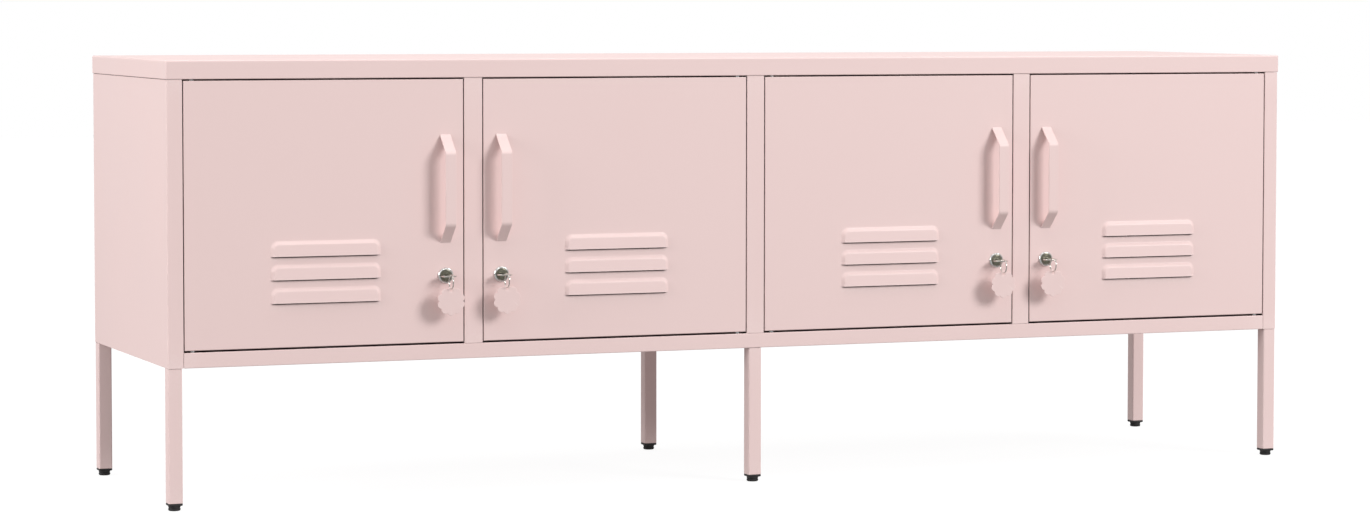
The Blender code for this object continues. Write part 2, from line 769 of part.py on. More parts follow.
def key_tag(name, number, axis):
    """A disc with a scalloped edge, hung on the ring by a hole in its top lobe."""
    half_angle = math.pi / TAG_LOBES
    spread = math.sin(half_angle) * TAG_LOBE_SWELL
    middle = TAG_RADIUS / (1 + spread)
    lobe = middle * spread
    meet = middle * math.cos(half_angle) + math.sqrt(lobe**2 - (middle * math.sin(half_angle)) ** 2)
    side_x = meet * math.cos(half_angle) - middle
    side_y = meet * math.sin(half_angle)
    sweep = math.degrees(math.atan2(side_y, side_x))
    outline = []
    for i in range(TAG_LOBES):
        turn = 90 + i * 360 / TAG_LOBES
        centre = (middle * math.cos(math.radians(turn)), middle * math.sin(math.radians(turn)))
        outline += arc(centre, lobe, turn - sweep, turn + sweep, 5)[:-1]
    hole_y = TAG_RADIUS - TAG_RIM - TAG_HOLE_RADIUS
    hole = arc((0, hole_y), TAG_HOLE_RADIUS, 360, 0, SMALL_SIDES)[:-1]
    tag = plate(name, [outline, hole], TAG_THICKNESS, enamel)
    tag.rotation_euler = (math.pi / 2, 0, 0)
    hole_z = TAG_PIVOT_Z + RING_WIRE + FIT - TAG_HOLE_RADIUS
    put(tag, (grip_x(number), RING_SPOT_Y, hole_z - hole_y), axis)


# ---- The whole cabinet -----------------------------------------------------------------------------------


def build_body():
    side_panel("left_side_panel", -1)
    side_panel("right_side_panel", 1)
    floor_pan()
    lid()
    back_panel()
    for number in range(1, DOOR_COUNT):
        divider(f"divider_{number}", door_left(number) - DOOR_GAP_SIDE - STILE_WIDTH / 2)
    for row, y in zip(("front", "rear"), leg_rows()):
        for column, x in zip(("left", "middle", "right"), leg_columns()):
            leg(f"leg_{row}_{column}", x, y)
            foot(f"foot_{row}_{column}", x, y)


def build_door(number):
    name = f"door_{number + 1}"
    hinge = as_axis(name + "_hinge", (pivot_x(number), PIVOT_Y, DOOR_BOTTOM))
    door_panel(name + "_panel", number, hinge)
    handle(name + "_handle", number, hinge)
    pivot_pin(name + "_pin_bottom", number, RAIL_TOP, True)
    pivot_pin(name + "_pin_top", number, LID_BOTTOM, False)
    turn = as_axis(name + "_lock_turn", (grip_x(number), FRONT, LOCK_Z), hinge)
    lock_housing(name + "_lock_housing", number, hinge)
    lock_plug(name + "_lock_plug", number, turn)
    lock_cam(name + "_lock_cam", number, turn)
    pull = as_axis(name + "_key_pull", (grip_x(number), FRONT, LOCK_Z), turn)
    key(name + "_key", number, pull)
    swing = as_axis(name + "_ring_swing", (grip_x(number), RING_SPOT_Y, LOCK_Z), pull)
    key_ring(name + "_key_ring", number, swing)
    sway = as_axis(name + "_tag_sway", (grip_x(number), RING_SPOT_Y, TAG_PIVOT_Z), swing)
    key_tag(name + "_key_tag", number, sway)


clear_scene()
cabinet = new_collection("locker_cabinet")
cutters = new_collection("cutters")
pink = new_material("pink_powder_coat", PINK, 0.45, 0.0)
enamel = new_material("tag_enamel", PINK, 0.40, 0.0)
black = new_material("black_plastic", BLACK, 0.55, 0.0)
chrome = new_material("lock_chrome", CHROME, 0.15, 1.0)
nickel = new_material("plug_nickel", NICKEL, 0.30, 1.0)
zinc = new_material("zinc_plate", ZINC, 0.35, 1.0)
steel = new_material("key_steel", CHROME, 0.25, 1.0)
build_body()
for door in range(DOOR_COUNT):
    build_door(door)
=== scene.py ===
# %% [markdown]
# # A long, low locker cabinet of folded steel
# The cabinet is a row of four doors between folded posts, a deep lid and six square legs. Each door has
# pressed louvres, a bent strip handle and a cam lock with its key, ring and tag. The solids that move and
# collide are loaded first. Every piece made below takes its place from them and stands in for one of them,
# with the fine folds, roundings and finishes that those solids leave out.

# %% Load the solids
import json
import math

import bpy
import numpy as np
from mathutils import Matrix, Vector

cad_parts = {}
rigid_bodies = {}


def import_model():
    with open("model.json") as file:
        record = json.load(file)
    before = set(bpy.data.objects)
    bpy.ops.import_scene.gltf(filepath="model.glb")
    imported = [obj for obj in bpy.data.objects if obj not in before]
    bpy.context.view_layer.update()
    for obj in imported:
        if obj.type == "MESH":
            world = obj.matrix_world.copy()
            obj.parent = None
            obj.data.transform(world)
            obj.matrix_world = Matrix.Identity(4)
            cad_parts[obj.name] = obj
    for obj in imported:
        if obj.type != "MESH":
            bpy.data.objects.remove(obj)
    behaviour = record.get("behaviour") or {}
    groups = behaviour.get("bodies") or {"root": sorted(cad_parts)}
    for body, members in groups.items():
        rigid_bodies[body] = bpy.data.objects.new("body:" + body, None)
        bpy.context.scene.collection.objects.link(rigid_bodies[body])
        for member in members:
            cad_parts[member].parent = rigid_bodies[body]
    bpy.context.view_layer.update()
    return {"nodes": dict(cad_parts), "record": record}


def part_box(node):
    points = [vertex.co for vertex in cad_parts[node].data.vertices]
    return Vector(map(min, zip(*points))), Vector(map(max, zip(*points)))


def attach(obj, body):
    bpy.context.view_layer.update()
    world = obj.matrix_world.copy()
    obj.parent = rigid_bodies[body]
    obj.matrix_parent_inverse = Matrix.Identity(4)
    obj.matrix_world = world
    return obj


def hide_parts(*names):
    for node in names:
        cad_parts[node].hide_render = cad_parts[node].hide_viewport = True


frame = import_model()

# %% [markdown]
# ## The camera
# A long lens from well back keeps the verticals upright and the doors nearly square. It looks slightly down
# from the left, and a small shift of the sensor frames the cabinet without turning the camera.

# %% Place the camera
CAMERA_SPOT = (-2.1982, -5.5043, 0.7301)
CAMERA_TILT = (87.016, -0.109, -22.900)  # degrees
CAMERA_LENS = 100.305  # millimetres, on a sensor 36 wide
CAMERA_SHIFT = (-0.0685, -0.0490)

camera_data = bpy.data.cameras.new("camera")
camera_data.sensor_width = 36.0
camera_data.lens = CAMERA_LENS
camera_data.shift_x, camera_data.shift_y = CAMERA_SHIFT
camera_data.clip_start = 0.05
camera_data.clip_end = 100.0
camera = bpy.data.objects.new("camera", camera_data)
camera.location = CAMERA_SPOT
camera.rotation_euler = [math.radians(angle) for angle in CAMERA_TILT]
bpy.context.scene.collection.objects.link(camera)
bpy.context.scene.camera = camera
print("camera at", CAMERA_SPOT)

# %% [markdown]
# ## Surfaces from arrays
# Every shape here is a grid of points: one direction runs along the piece and the other round it. The whole
# grid is worked out at once as an array, and only then becomes a mesh. A closed shell has to hold a positive
# volume and a sheet has to face a known way, so both are tested with sums over their faces and turned round
# if they are inside out.


# %% Turn a grid of points into faces
def surface(points, around=False, along=False, ends=False, keep=None):
    """Vertices and faces of a grid of points, shaped (stations, places, 3).

    around joins the last place to the first, along joins the last station to the first, and ends closes the
    first and last stations with flat faces. keep is a mask of the faces that stay.
    """
    rows, columns = points.shape[:2]
    index = np.arange(rows * columns).reshape(rows, columns)
    first, last = index[0][::-1].tolist(), index[-1].tolist()
    if around:
        index = np.concatenate([index, index[:, :1]], 1)
    if along:
        index = np.concatenate([index, index[:1]], 0)
    quads = np.stack([index[:-1, :-1], index[:-1, 1:], index[1:, 1:], index[1:, :-1]], -1)
    faces = (quads[keep] if keep is not None else quads.reshape(-1, 4)).tolist()
    if ends:
        faces += [first, last]
    return points.reshape(-1, 3), faces


def area_normals(points, faces):
    """Area vector of each face and its centre: half the sum of cross products of neighbouring corners."""
    sums = np.zeros((len(faces), 3))
    centres = np.zeros((len(faces), 3))
    sizes = np.array([len(face) for face in faces])
    for size in np.unique(sizes):
        rows = np.flatnonzero(sizes == size)
        corners = points[np.array([faces[row] for row in rows])]
        centres[rows] = corners.mean(1)
        sums[rows] = np.cross(corners, np.roll(corners, -1, 1)).sum(1) / 2
    return sums, centres


def outward(shell, facing=None):
    """The shell with its faces outwards: its volume is a third of the sum of centre dot area vector."""
    points, faces = shell
    vectors, centres = area_normals(points, faces)
    if facing is None:
        measure = ((centres - points.mean(0)) * vectors).sum() / 3
    else:
        measure = (vectors.sum(0) * np.array(facing)).sum()
    return (points, faces) if measure > 0 else (points, [face[::-1] for face in faces])


def capped(points):
    """A closed tube of rings with a cap at each end, facing outwards."""
    return outward(surface(points, around=True, ends=True))


def looped(points):
    """A closed ring of rings, joined end to end, facing outwards."""
    return outward(surface(points, around=True, along=True))


def merged(shells):
    """One set of points and faces from several shells."""
    points = np.concatenate([shell[0] for shell in shells])
    faces = []
    start = 0
    for shell in shells:
        faces += [[corner + start for corner in face] for face in shell[1]]
        start += len(shell[0])
    return points, faces


print("surface tools ready")

# %% [markdown]
# ## From arrays to finished pieces
# Points that meet are merged, edges sharper than a set angle stay crisp and the rest shade smoothly. Normals
# are weighted by face area, so a wide flat face stays flat right up to its rounded fold. Holes are drilled
# with round cutters after a sheet has its thickness.

# %% Make an object from shells
SHARP_ANGLE = math.radians(38)
MERGE = 1e-6


def new_object(name, shell):
    """A mesh object at the origin, with coincident points merged."""
    points, faces = shell
    data = bpy.data.meshes.new(name)
    data.from_pydata(np.asarray(points, float).tolist(), [], faces)
    made = bpy.data.objects.new(name, data)
    bpy.context.scene.collection.objects.link(made)
    weld = made.modifiers.new("weld", "WELD")
    weld.merge_threshold = MERGE
    return made


def settle(made):
    """Replace an object's mesh with what its modifiers make of it."""
    bpy.context.view_layer.update()
    evaluated = made.evaluated_get(bpy.context.evaluated_depsgraph_get())
    data = bpy.data.meshes.new_from_object(evaluated)
    made.modifiers.clear()
    old = made.data
    made.data = data
    bpy.data.meshes.remove(old)
    data.name = made.name


def finish(name, shell, material, node, sheet=0.0, drills=None):
    """A finished piece that stands in for one solid and moves with that solid's body."""
    made = new_object(name, shell)
    if sheet:
        wall = made.modifiers.new("wall", "SOLIDIFY")
        wall.thickness = sheet
        wall.offset = -1.0
        wall.use_even_offset = True
    settle(made)
    if drills:
        cutter = new_object(name + "_drills", merged(drills))
        settle(cutter)
        hole = made.modifiers.new("holes", "BOOLEAN")
        hole.operation = "DIFFERENCE"
        hole.solver = "EXACT"
        hole.object = cutter
        settle(made)
        bpy.data.objects.remove(cutter, do_unlink=True)
    made.data.materials.clear()
    made.data.materials.append(material)
    made.data.shade_smooth()
    made.data.set_sharp_from_angle(angle=SHARP_ANGLE)
    shading = made.modifiers.new("shading", "WEIGHTED_NORMAL")
    shading.keep_sharp = True
    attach(made, body_of_node[node])
    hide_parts(node)
    return made


bodies = frame["record"]["behaviour"]["bodies"]
body_of_node = {node: body for body, nodes in bodies.items() for node in nodes}
print("nodes with a body:", len(body_of_node))


# %% Read where a solid lies
def corners(node):
    """Lowest and highest corner of a solid, as arrays."""
    low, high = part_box(node)
    return np.array(low), np.array(high)


def spread(*pieces):
    """One sorted line of places from several ranges given as (start, end, count)."""
    return np.unique(np.round(np.concatenate([np.linspace(*piece) for piece in pieces]), 7))


SHEET = 0.001  # steel sheet
FIT = 0.0003  # clearance between pieces that fit together
lid_low, lid_high = corners("lid")
print("lid height", round(float(lid_high[2] - lid_low[2]), 4))

# %% [markdown]
# ## Node groups for the finishes
# Several finishes share the same effects. The coat's orange peel, slow drift of colour, brushing, scuffs and
# the light line along worn edges are each a group with named inputs and outputs. A group puts out only
# masks and heights. Each material places it with its own values and keeps the shader itself.


# %% Small helpers for node trees
def add(tree, kind, **values):
    """A node with the given settings: sockets by their names, anything else as a property."""
    made = tree.nodes.new(kind)
    for name, value in values.items():
        socket = made.inputs.get(name.replace("_", " "))
        if socket is not None and not hasattr(made, name):
            socket.default_value = value
        else:
            setattr(made, name, value)
    return made


def wire(tree, source, target):
    tree.links.new(source, target)


def new_group(name, inputs, outputs):
    """An empty shader group whose sockets are single values, with their defaults, or vectors."""
    tree = bpy.data.node_groups.new(name, "ShaderNodeTree")
    for label, default in inputs.items():
        kind = "NodeSocketVector" if default is None else "NodeSocketFloat"
        socket = tree.interface.new_socket(name=label, in_out="INPUT", socket_type=kind)
        if default is not None:
            socket.default_value = default
    for label in outputs:
        tree.interface.new_socket(name=label, in_out="OUTPUT", socket_type="NodeSocketFloat")
    return tree, tree.nodes.new("NodeGroupInput"), tree.nodes.new("NodeGroupOutput")


def stretched(tree, source, scale):
    """Coordinates multiplied along each axis."""
    mapping = add(tree, "ShaderNodeMapping")
    mapping.inputs["Scale"].default_value = scale
    wire(tree, source, mapping.inputs["Vector"])
    return mapping.outputs["Vector"]


def noise(tree, source, scale, detail=2.0, roughness=0.5, distortion=0.0):
    made = add(tree, "ShaderNodeTexNoise", Detail=detail, Roughness=roughness, Distortion=distortion)
    wire(tree, source, made.inputs["Vector"])
    if isinstance(scale, (int, float)):
        made.inputs["Scale"].default_value = scale
    else:
        wire(tree, scale, made.inputs["Scale"])
    return made.outputs["Fac"]


def math_node(tree, operation, first, second=None, clamp=False):
    made = add(tree, "ShaderNodeMath", operation=operation, use_clamp=clamp)
    for socket, value in zip(made.inputs, (first, second)):
        if isinstance(value, (int, float)):
            socket.default_value = value
        elif value is not None:
            wire(tree, value, socket)
    return made.outputs[0]


def remap(tree, value, low, high, new_low=0.0, new_high=1.0):
    made = add(tree, "ShaderNodeMapRange", clamp=True)
    made.interpolation_type = "SMOOTHSTEP"
    wire(tree, value, made.inputs["Value"])
    for label, number in (("From Min", low), ("From Max", high), ("To Min", new_low), ("To Max", new_high)):
        made.inputs[label].default_value = number
    return made.outputs["Result"]


print("node helpers ready")

# %% [markdown]
# ### Orange peel
# Sprayed powder melts into a skin that is never quite flat. It has shallow swells a millimetre or two across
# with finer pits between them. Two sizes of noise give the height, and a much larger one lets the colour and
# the gloss drift slowly, as the coat's thickness does.

# %% Group: the skin of a sprayed coat
coat_skin, ins, outs = new_group(
    "coat_skin", {"Place": None, "Swell": 620.0, "Drift": 3.5}, ("Height", "Drift", "Fleck")
)
swell = noise(coat_skin, ins.outputs["Place"], ins.outputs["Swell"], 1.5, 0.45)
pit_scale = math_node(coat_skin, "MULTIPLY", ins.outputs["Swell"], 3.1)
pits = noise(coat_skin, ins.outputs["Place"], pit_scale, 1.0, 0.4)
peel = math_node(coat_skin, "ADD", swell, math_node(coat_skin, "MULTIPLY", pits, 0.28))
wire(coat_skin, peel, outs.inputs["Height"])
drift = noise(coat_skin, ins.outputs["Place"], ins.outputs["Drift"], 3.0, 0.55)
wire(coat_skin, remap(coat_skin, drift, 0.3, 0.7), outs.inputs["Drift"])
fleck_scale = math_node(coat_skin, "MULTIPLY", ins.outputs["Swell"], 1.7)
fleck = noise(coat_skin, ins.outputs["Place"], fleck_scale, 2.0, 0.6)
wire(coat_skin, remap(coat_skin, fleck, 0.62, 0.78), outs.inputs["Fleck"])
print("group", coat_skin.name)

# %% [markdown]
# ### Edges
# Powder pulls back from a sharp fold, so a fold's ridge carries a thinner and slightly paler coat, and hands
# polish it; the paler line is also a painted highlight along the edges. The mask takes the surface's own
# convexity and breaks it up with noise, so the line is uneven. The same reading with the sign turned round
# finds inner corners, which are made darker: partly dust, partly painted shade.

# %% Group: ridges and inner corners
edge_line, ins, outs = new_group("edge_line", {"Place": None, "Grain": 240.0}, ("Ridge", "Corner"))
bent = add(edge_line, "ShaderNodeNewGeometry").outputs["Pointiness"]
grain = noise(edge_line, ins.outputs["Place"], ins.outputs["Grain"], 3.0, 0.6)
breaks = remap(edge_line, grain, 0.35, 0.65, 0.35, 1.0)
ridge = remap(edge_line, bent, 0.515, 0.60)
wire(edge_line, math_node(edge_line, "MULTIPLY", ridge, breaks), outs.inputs["Ridge"])
corner_mask = remap(edge_line, bent, 0.485, 0.42)
wire(edge_line, math_node(edge_line, "MULTIPLY", corner_mask, breaks), outs.inputs["Corner"])
print("group", edge_line.name)

# %% [markdown]
# ### Brushing and scratches
# Plated parts are polished before plating, which leaves fine lines all one way, and use adds a few longer
# scratches across them. Both are noise stretched along one axis, many times longer than it is wide.

# %% Group: polishing lines and scratches
metal_lines, ins, outs = new_group("metal_lines", {"Place": None}, ("Lines", "Scratch", "Haze"))
along_lines = stretched(metal_lines, ins.outputs["Place"], (220.0, 2600.0, 2600.0))
wire(metal_lines, noise(metal_lines, along_lines, 1.0, 2.0, 0.6), outs.inputs["Lines"])
across = stretched(metal_lines, ins.outputs["Place"], (1700.0, 1700.0, 130.0))
scratch = noise(metal_lines, across, 1.0, 1.0, 0.5, 0.6)
wire(metal_lines, remap(metal_lines, scratch, 0.66, 0.74), outs.inputs["Scratch"])
haze = noise(metal_lines, ins.outputs["Place"], 310.0, 3.0, 0.6)
wire(metal_lines, remap(metal_lines, haze, 0.35, 0.75), outs.inputs["Haze"])
print("group", metal_lines.name)


# %% Helpers that start and end a material
def start_material(name, **sockets):
    """A material with one Principled shader, whose even values sit on its own sockets."""
    made = bpy.data.materials.new(name)
    made.use_nodes = True
    tree = made.node_tree
    shader = tree.nodes["Principled BSDF"]
    for label, value in sockets.items():
        shader.inputs[label.replace("_", " ")].default_value = value
    place = add(tree, "ShaderNodeTexCoord").outputs["Object"]
    return made, tree, shader, place


def place_group(tree, group, place, **values):
    made = tree.nodes.new("ShaderNodeGroup")
    made.node_tree = group
    wire(tree, place, made.inputs["Place"])
    for label, value in values.items():
        made.inputs[label].default_value = value
    return made.outputs


def blend_colour(tree, amount, first, second, strength=1.0):
    """Mix two colours by a mask, each given as a colour or a socket."""
    made = add(tree, "ShaderNodeMix", data_type="RGBA")
    wire(tree, math_node(tree, "MULTIPLY", amount, strength), made.inputs["Factor"])
    for socket, value in ((made.inputs[6], first), (made.inputs[7], second)):
        if isinstance(value, tuple):
            socket.default_value = (*value, 1.0)
        else:
            wire(tree, value, socket)
    return made.outputs[2]


def relief(tree, shader, height, distance, strength=1.0):
    """Feed a height in metres times distance to the shader's normal."""
    made = add(tree, "ShaderNodeBump", Strength=strength, Distance=distance)
    wire(tree, height, made.inputs["Height"])
    wire(tree, made.outputs["Normal"], shader.inputs["Normal"])


# %% [markdown]
# ### The finishes
# The steel wears a satin blush-pink powder coat. Tags have a smoother enamel in the same pink. The lock's
# bezel is bright chrome and its core a dark nickel. Keys and rings are plain bright steel, pins and cams are
# zinc plated, and the feet are black moulded plastic with a fine grain.

# %% Material: powder coat
BLUSH = (0.820, 0.627, 0.607)
BLUSH_PALE = (0.875, 0.705, 0.685)
BLUSH_DEEP = (0.780, 0.580, 0.558)
DUST_AND_SHADE = (0.640, 0.520, 0.490)
# near black painted into tight gaps and recesses as shade
GAP_SHADE_PAINT = (0.045, 0.030, 0.028)

powder_coat, tree, shader, place = start_material("blush_powder_coat", Specular_IOR_Level=0.42)
skin = place_group(tree, coat_skin, place)
edge = place_group(tree, edge_line, place)
colour = blend_colour(tree, skin["Drift"], BLUSH, BLUSH_DEEP, 0.22)
colour = blend_colour(tree, skin["Fleck"], colour, BLUSH_PALE, 0.16)
# Paler ridges: partly a thinner, polished coat, partly a painted highlight along the edges.
colour = blend_colour(tree, edge["Ridge"], colour, BLUSH_PALE, 0.55)
# Darker inner corners: partly dust, partly painted shade.
colour = blend_colour(tree, edge["Corner"], colour, DUST_AND_SHADE, 0.25)
# Painted shade: where the occlusion reading finds a tight gap or recess, the coat's colour goes towards near
# black, so the gaps between doors, posts and jambs read dark.
open_to_air = add(tree, "ShaderNodeAmbientOcclusion", samples=6)
open_to_air.inputs["Distance"].default_value = 0.012
painted_gap_shade = remap(tree, open_to_air.outputs["AO"], 0.08, 0.34, 1.0, 0.0)
colour = blend_colour(tree, painted_gap_shade, colour, GAP_SHADE_PAINT)
wire(tree, colour, shader.inputs["Base Color"])
wire(tree, remap(tree, skin["Drift"], 0.0, 1.0, 0.40, 0.48), shader.inputs["Roughness"])
relief(tree, shader, skin["Height"], 0.00005)
print("material", powder_coat.name)

# %% Material: tag enamel
tag_enamel, tree, shader, place = start_material("tag_enamel", Specular_IOR_Level=0.5)
skin = place_group(tree, coat_skin, place, Swell=900.0, Drift=60.0)
edge = place_group(tree, edge_line, place, Grain=500.0)
colour = blend_colour(tree, skin["Drift"], BLUSH, BLUSH_DEEP, 0.18)
# Paler ridges: partly a thinner coat, partly a painted highlight along the edges.
colour = blend_colour(tree, edge["Ridge"], colour, BLUSH_PALE, 0.6)
wire(tree, colour, shader.inputs["Base Color"])
wire(tree, remap(tree, skin["Fleck"], 0.0, 1.0, 0.32, 0.42), shader.inputs["Roughness"])
relief(tree, shader, skin["Height"], 0.00002)
print("material", tag_enamel.name)


# %% Materials: plated metals
def plated(name, bright, dull, smooth, rough, line_depth):
    """Polished or brushed metal: haze and scratches raise its roughness and dull its colour."""
    made, tree, shader, place = start_material(name, Metallic=1.0)
    lines = place_group(tree, metal_lines, place)
    colour = blend_colour(tree, lines["Haze"], bright, dull, 0.5)
    colour = blend_colour(tree, lines["Scratch"], colour, dull, 0.6)
    wire(tree, colour, shader.inputs["Base Color"])
    half_haze = math_node(tree, "MULTIPLY", lines["Haze"], 0.5)
    worn = math_node(tree, "ADD", half_haze, lines["Scratch"], clamp=True)
    wire(tree, remap(tree, worn, 0.0, 1.0, smooth, rough), shader.inputs["Roughness"])
    relief(tree, shader, lines["Lines"], line_depth)
    return made


chrome = plated("lock_chrome", (0.86, 0.86, 0.85), (0.66, 0.66, 0.64), 0.06, 0.20, 0.000004)
nickel = plated("plug_nickel", (0.30, 0.29, 0.23), (0.18, 0.17, 0.12), 0.18, 0.38, 0.000010)
key_steel = plated("key_steel", (0.74, 0.72, 0.68), (0.50, 0.48, 0.44), 0.16, 0.36, 0.000012)
zinc = plated("zinc_plate", (0.70, 0.71, 0.72), (0.52, 0.53, 0.54), 0.24, 0.46, 0.000012)
print("plated metals", [m.name for m in (chrome, nickel, key_steel, zinc)])

# %% Material: foot plastic
foot_plastic, tree, shader, place = start_material("foot_plastic", Specular_IOR_Level=0.4)
skin = place_group(tree, coat_skin, place, Swell=1500.0, Drift=45.0)
edge = place_group(tree, edge_line, place, Grain=700.0)
colour = blend_colour(tree, skin["Drift"], (0.010, 0.010, 0.011), (0.022, 0.021, 0.021))
# Paler ridges: partly scuffed edges, partly a painted highlight along them.
colour = blend_colour(tree, edge["Ridge"], colour, (0.075, 0.072, 0.070), 0.7)
wire(tree, colour, shader.inputs["Base Color"])
wire(tree, remap(tree, skin["Drift"], 0.0, 1.0, 0.42, 0.62), shader.inputs["Roughness"])
relief(tree, shader, skin["Height"], 0.00004)
print("material", foot_plastic.name)

# %% Give the carried-over solids the same finishes
finishes = {
    "powder_coat": powder_coat,
    "tag_enamel": tag_enamel,
    "foot_plastic": foot_plastic,
    "lock_chrome": chrome,
    "plug_nickel": nickel,
    "key_steel": key_steel,
    "zinc_plate": zinc,
}
slot_of_node = {part["node"]: part["material_slot"] for part in frame["record"]["subparts"]}
for node, solid in frame["nodes"].items():
    solid.data.materials.clear()
    solid.data.materials.append(finishes[slot_of_node[node]])
print("finishes on", len(slot_of_node), "solids")

# %% [markdown]
# ## Folded trays
# The lid, the floor, the sides, the back and the doors are all the same kind of piece: a sheet whose four
# edges are folded back, and then in again as lips. Its surface is a flat grid whose border is carried
# through the folds as a series of rectangles, each smaller or deeper than the last. The sheet's thickness is
# added inwards afterwards.

# %% Carry a border through two folds
FOLD_STEPS = 6


def fold_rings(folds, depth, lips, second_fold):
    """Rings as (inset of each side, depth).

    They follow a quarter ellipse back, a straight return and a quarter circle in.
    """
    turn = np.linspace(0, math.pi / 2, FOLD_STEPS + 1)[1:]
    sides = np.array(folds)
    reach = max(folds)
    rings = [(sides * (1 - math.sin(t)), reach * (1 - math.cos(t))) for t in turn]
    if lips is None:
        return rings + [(sides * 0, depth)]
    lips = np.array(lips)
    rings.append((sides * 0, depth - second_fold))
    rings += [
        (sides * 0 + second_fold * (1 - math.cos(t)), depth - second_fold * (1 - math.sin(t))) for t in turn
    ]
    return rings + [(lips, depth)]


def tray(low, high, depth, lips, folds, second_fold=0.0012, lines=None, press=None, slits=(), cut=None,
         rounded=False):
    """A folded tray in its own axes: across, up and outward, with its face at height 0.

    low and high are its corners, lips and folds are in the order left, right, bottom, top, and lines are the
    places of the face's grid. press gives the height of each point of the face. slits are heights at which
    the face is cut across, which takes two rows of points, and cut gives how far the lower row stands off.
    rounded turns the corners on the same radius as the folds.
    """
    left, right, bottom, top = folds
    across = np.array([low[0] + left, high[0] - right])
    up = np.array([low[1] + bottom, high[1] - top])
    if lines:
        inner = [np.array(part) for part in lines]
        across, up = (
            np.unique(np.concatenate([ends, line[(line > ends[0]) & (line < ends[1])]]))
            for ends, line in zip((across, up), inner)
        )
    below = np.isin(np.round(up, 7), np.round(slits, 7))
    rows = np.repeat(up, np.where(below, 2, 1))
    level = rows.copy()
    first_of_pair = np.flatnonzero(np.diff(rows) == 0)
    level[first_of_pair] -= MERGE
    a, b = np.meshgrid(across, rows)
    height = press(a, np.broadcast_to(level[:, None], b.shape)) if press else np.zeros_like(a)
    if cut:
        b[first_of_pair] -= cut(across)
    face = np.stack([a, b, height], -1)
    keep = np.ones((len(rows) - 1, len(across) - 1), bool)
    keep[first_of_pair] = False
    shells = [surface(face, keep=keep)]

    # The border runs anticlockwise: bottom, right, top, left. Each corner is one point, or a fan of points.
    fan = FOLD_STEPS + 1 if rounded else 1
    share_a = (across - across[0]) / (across[-1] - across[0])
    share_b = (up - up[0]) / (up[-1] - up[0])
    ones = np.ones
    border_a = np.concatenate(
        [ones(fan) * 0, share_a[1:-1], ones(fan), ones(len(up) - 2),
         ones(fan), share_a[-2:0:-1], ones(fan) * 0, ones(len(up) - 2) * 0]
    )
    border_b = np.concatenate(
        [ones(fan) * 0, ones(len(across) - 2) * 0, ones(fan) * 0, share_b[1:-1], ones(fan),
         ones(len(across) - 2), ones(fan), share_b[-2:0:-1]]
    )
    counts = [fan, len(across) - 2, fan, len(up) - 2, fan, len(across) - 2, fan, len(up) - 2]
    starts = [180, 270, 270, 0, 0, 90, 90, 180]
    turns = [90, 0, 90, 0, 90, 0, 90, 0]
    angle = np.radians(
        np.concatenate([np.linspace(s, s + t, n) for s, t, n in zip(starts, turns, counts)])
    )
    first_a = across[0] + border_a * (across[-1] - across[0])
    first_b = up[0] + border_b * (up[-1] - up[0])
    rings = [np.stack([first_a, first_b, border_a * 0], -1)]
    for inset, back in fold_rings(folds, depth, lips, second_fold):
        if rounded and max(inset) <= left:
            out = left - inset[0]
            ring_a = rings[0][:, 0] + np.cos(angle) * out
            ring_b = rings[0][:, 1] + np.sin(angle) * out
        else:
            ring_a = low[0] + inset[0] + border_a * (high[0] - low[0] - inset[0] - inset[1])
            ring_b = low[1] + inset[2] + border_b * (high[1] - low[1] - inset[2] - inset[3])
        rings.append(np.stack([ring_a, ring_b, ring_a * 0 - back], -1))
    shells.append(surface(np.stack(rings), around=True))
    return merged([outward(shells[0], (0, 0, 1)), border_outward(shells[1])])


def border_outward(shell):
    """The ring of folds with its faces away from the tray's middle, tested on the widest returns."""
    points, faces = shell
    vectors, centres = area_normals(points, faces)
    middle = (points.min(0) + points.max(0)) / 2
    away = (centres - middle)[:, :2]
    flat = np.abs(vectors[:, 2]) < 1e-9
    measure = (away * vectors[:, :2]).sum(1)[flat].sum()
    return (points, faces) if measure > 0 else (points, [face[::-1] for face in faces])


def stand(shell, across, up, out, origin):
    """The shell with its own three axes laid along the given directions from an origin."""
    points, faces = shell
    axes = np.array([across, up, out], float)
    turned_over = np.linalg.det(axes) < 0
    points = points @ axes + np.array(origin, float)
    return points, [face[::-1] for face in faces] if turned_over else faces


print("tray tool ready")


# %% Round bars for drilling
def bar(radius, start, end, axis, spot, places=24):
    """A closed round bar along one axis: a circle at its start and the same circle at its end."""
    angle = (np.arange(places) + 0.5) * 2 * math.pi / places
    rings = []
    for station in (start, end):
        ring = np.zeros((places, 3))
        ring[:, (axis + 1) % 3] = spot[(axis + 1) % 3] + radius * np.cos(angle)
        ring[:, (axis + 2) % 3] = spot[(axis + 2) % 3] + radius * np.sin(angle)
        ring[:, axis] = station
        rings.append(ring)
    return capped(np.stack(rings))


def middle_of(node):
    """Middle of a solid's box."""
    low, high = corners(node)
    return (low + high) / 2


def pin_spot(number, end):
    """Axis of one of a door's pivot pins."""
    return middle_of(f"door_{number}_pin_{end}")


SHEET_DRILL, DOOR_DRILL = 0.003, 0.004  # depth of a drill past the surface


def upright_drill(radius, surface_z, inward, spot, deep=SHEET_DRILL):
    """A bar that starts clear of a surface and goes through it: inward is 1 for upwards and -1 for down."""
    start, end = surface_z - inward * DRILL_CLEAR, surface_z + inward * deep
    return bar(radius, min(start, end), max(start, end), 2, spot)


DOORS = (1, 2, 3, 4)
PIN_HOLE = 0.0028
STUD_HOLE = 0.0043
DRILL_CLEAR = 0.002
print("pin axis of door 1:", [round(float(v), 4) for v in pin_spot(1, "bottom")])

# %% [markdown]
# ## Lid and floor
# The lid is a deep tray with rounded corners, turned in below as a lip that takes the upper pivot pins. The
# floor is a shallow tray of the same kind, and its front return shows as the rail under the doors.

# %% Make the lid and the floor
LID_FOLD = 0.0025
LID_LIP = 0.020
FLOOR_FOLD = 0.0012
FLOOR_LIP = 0.030


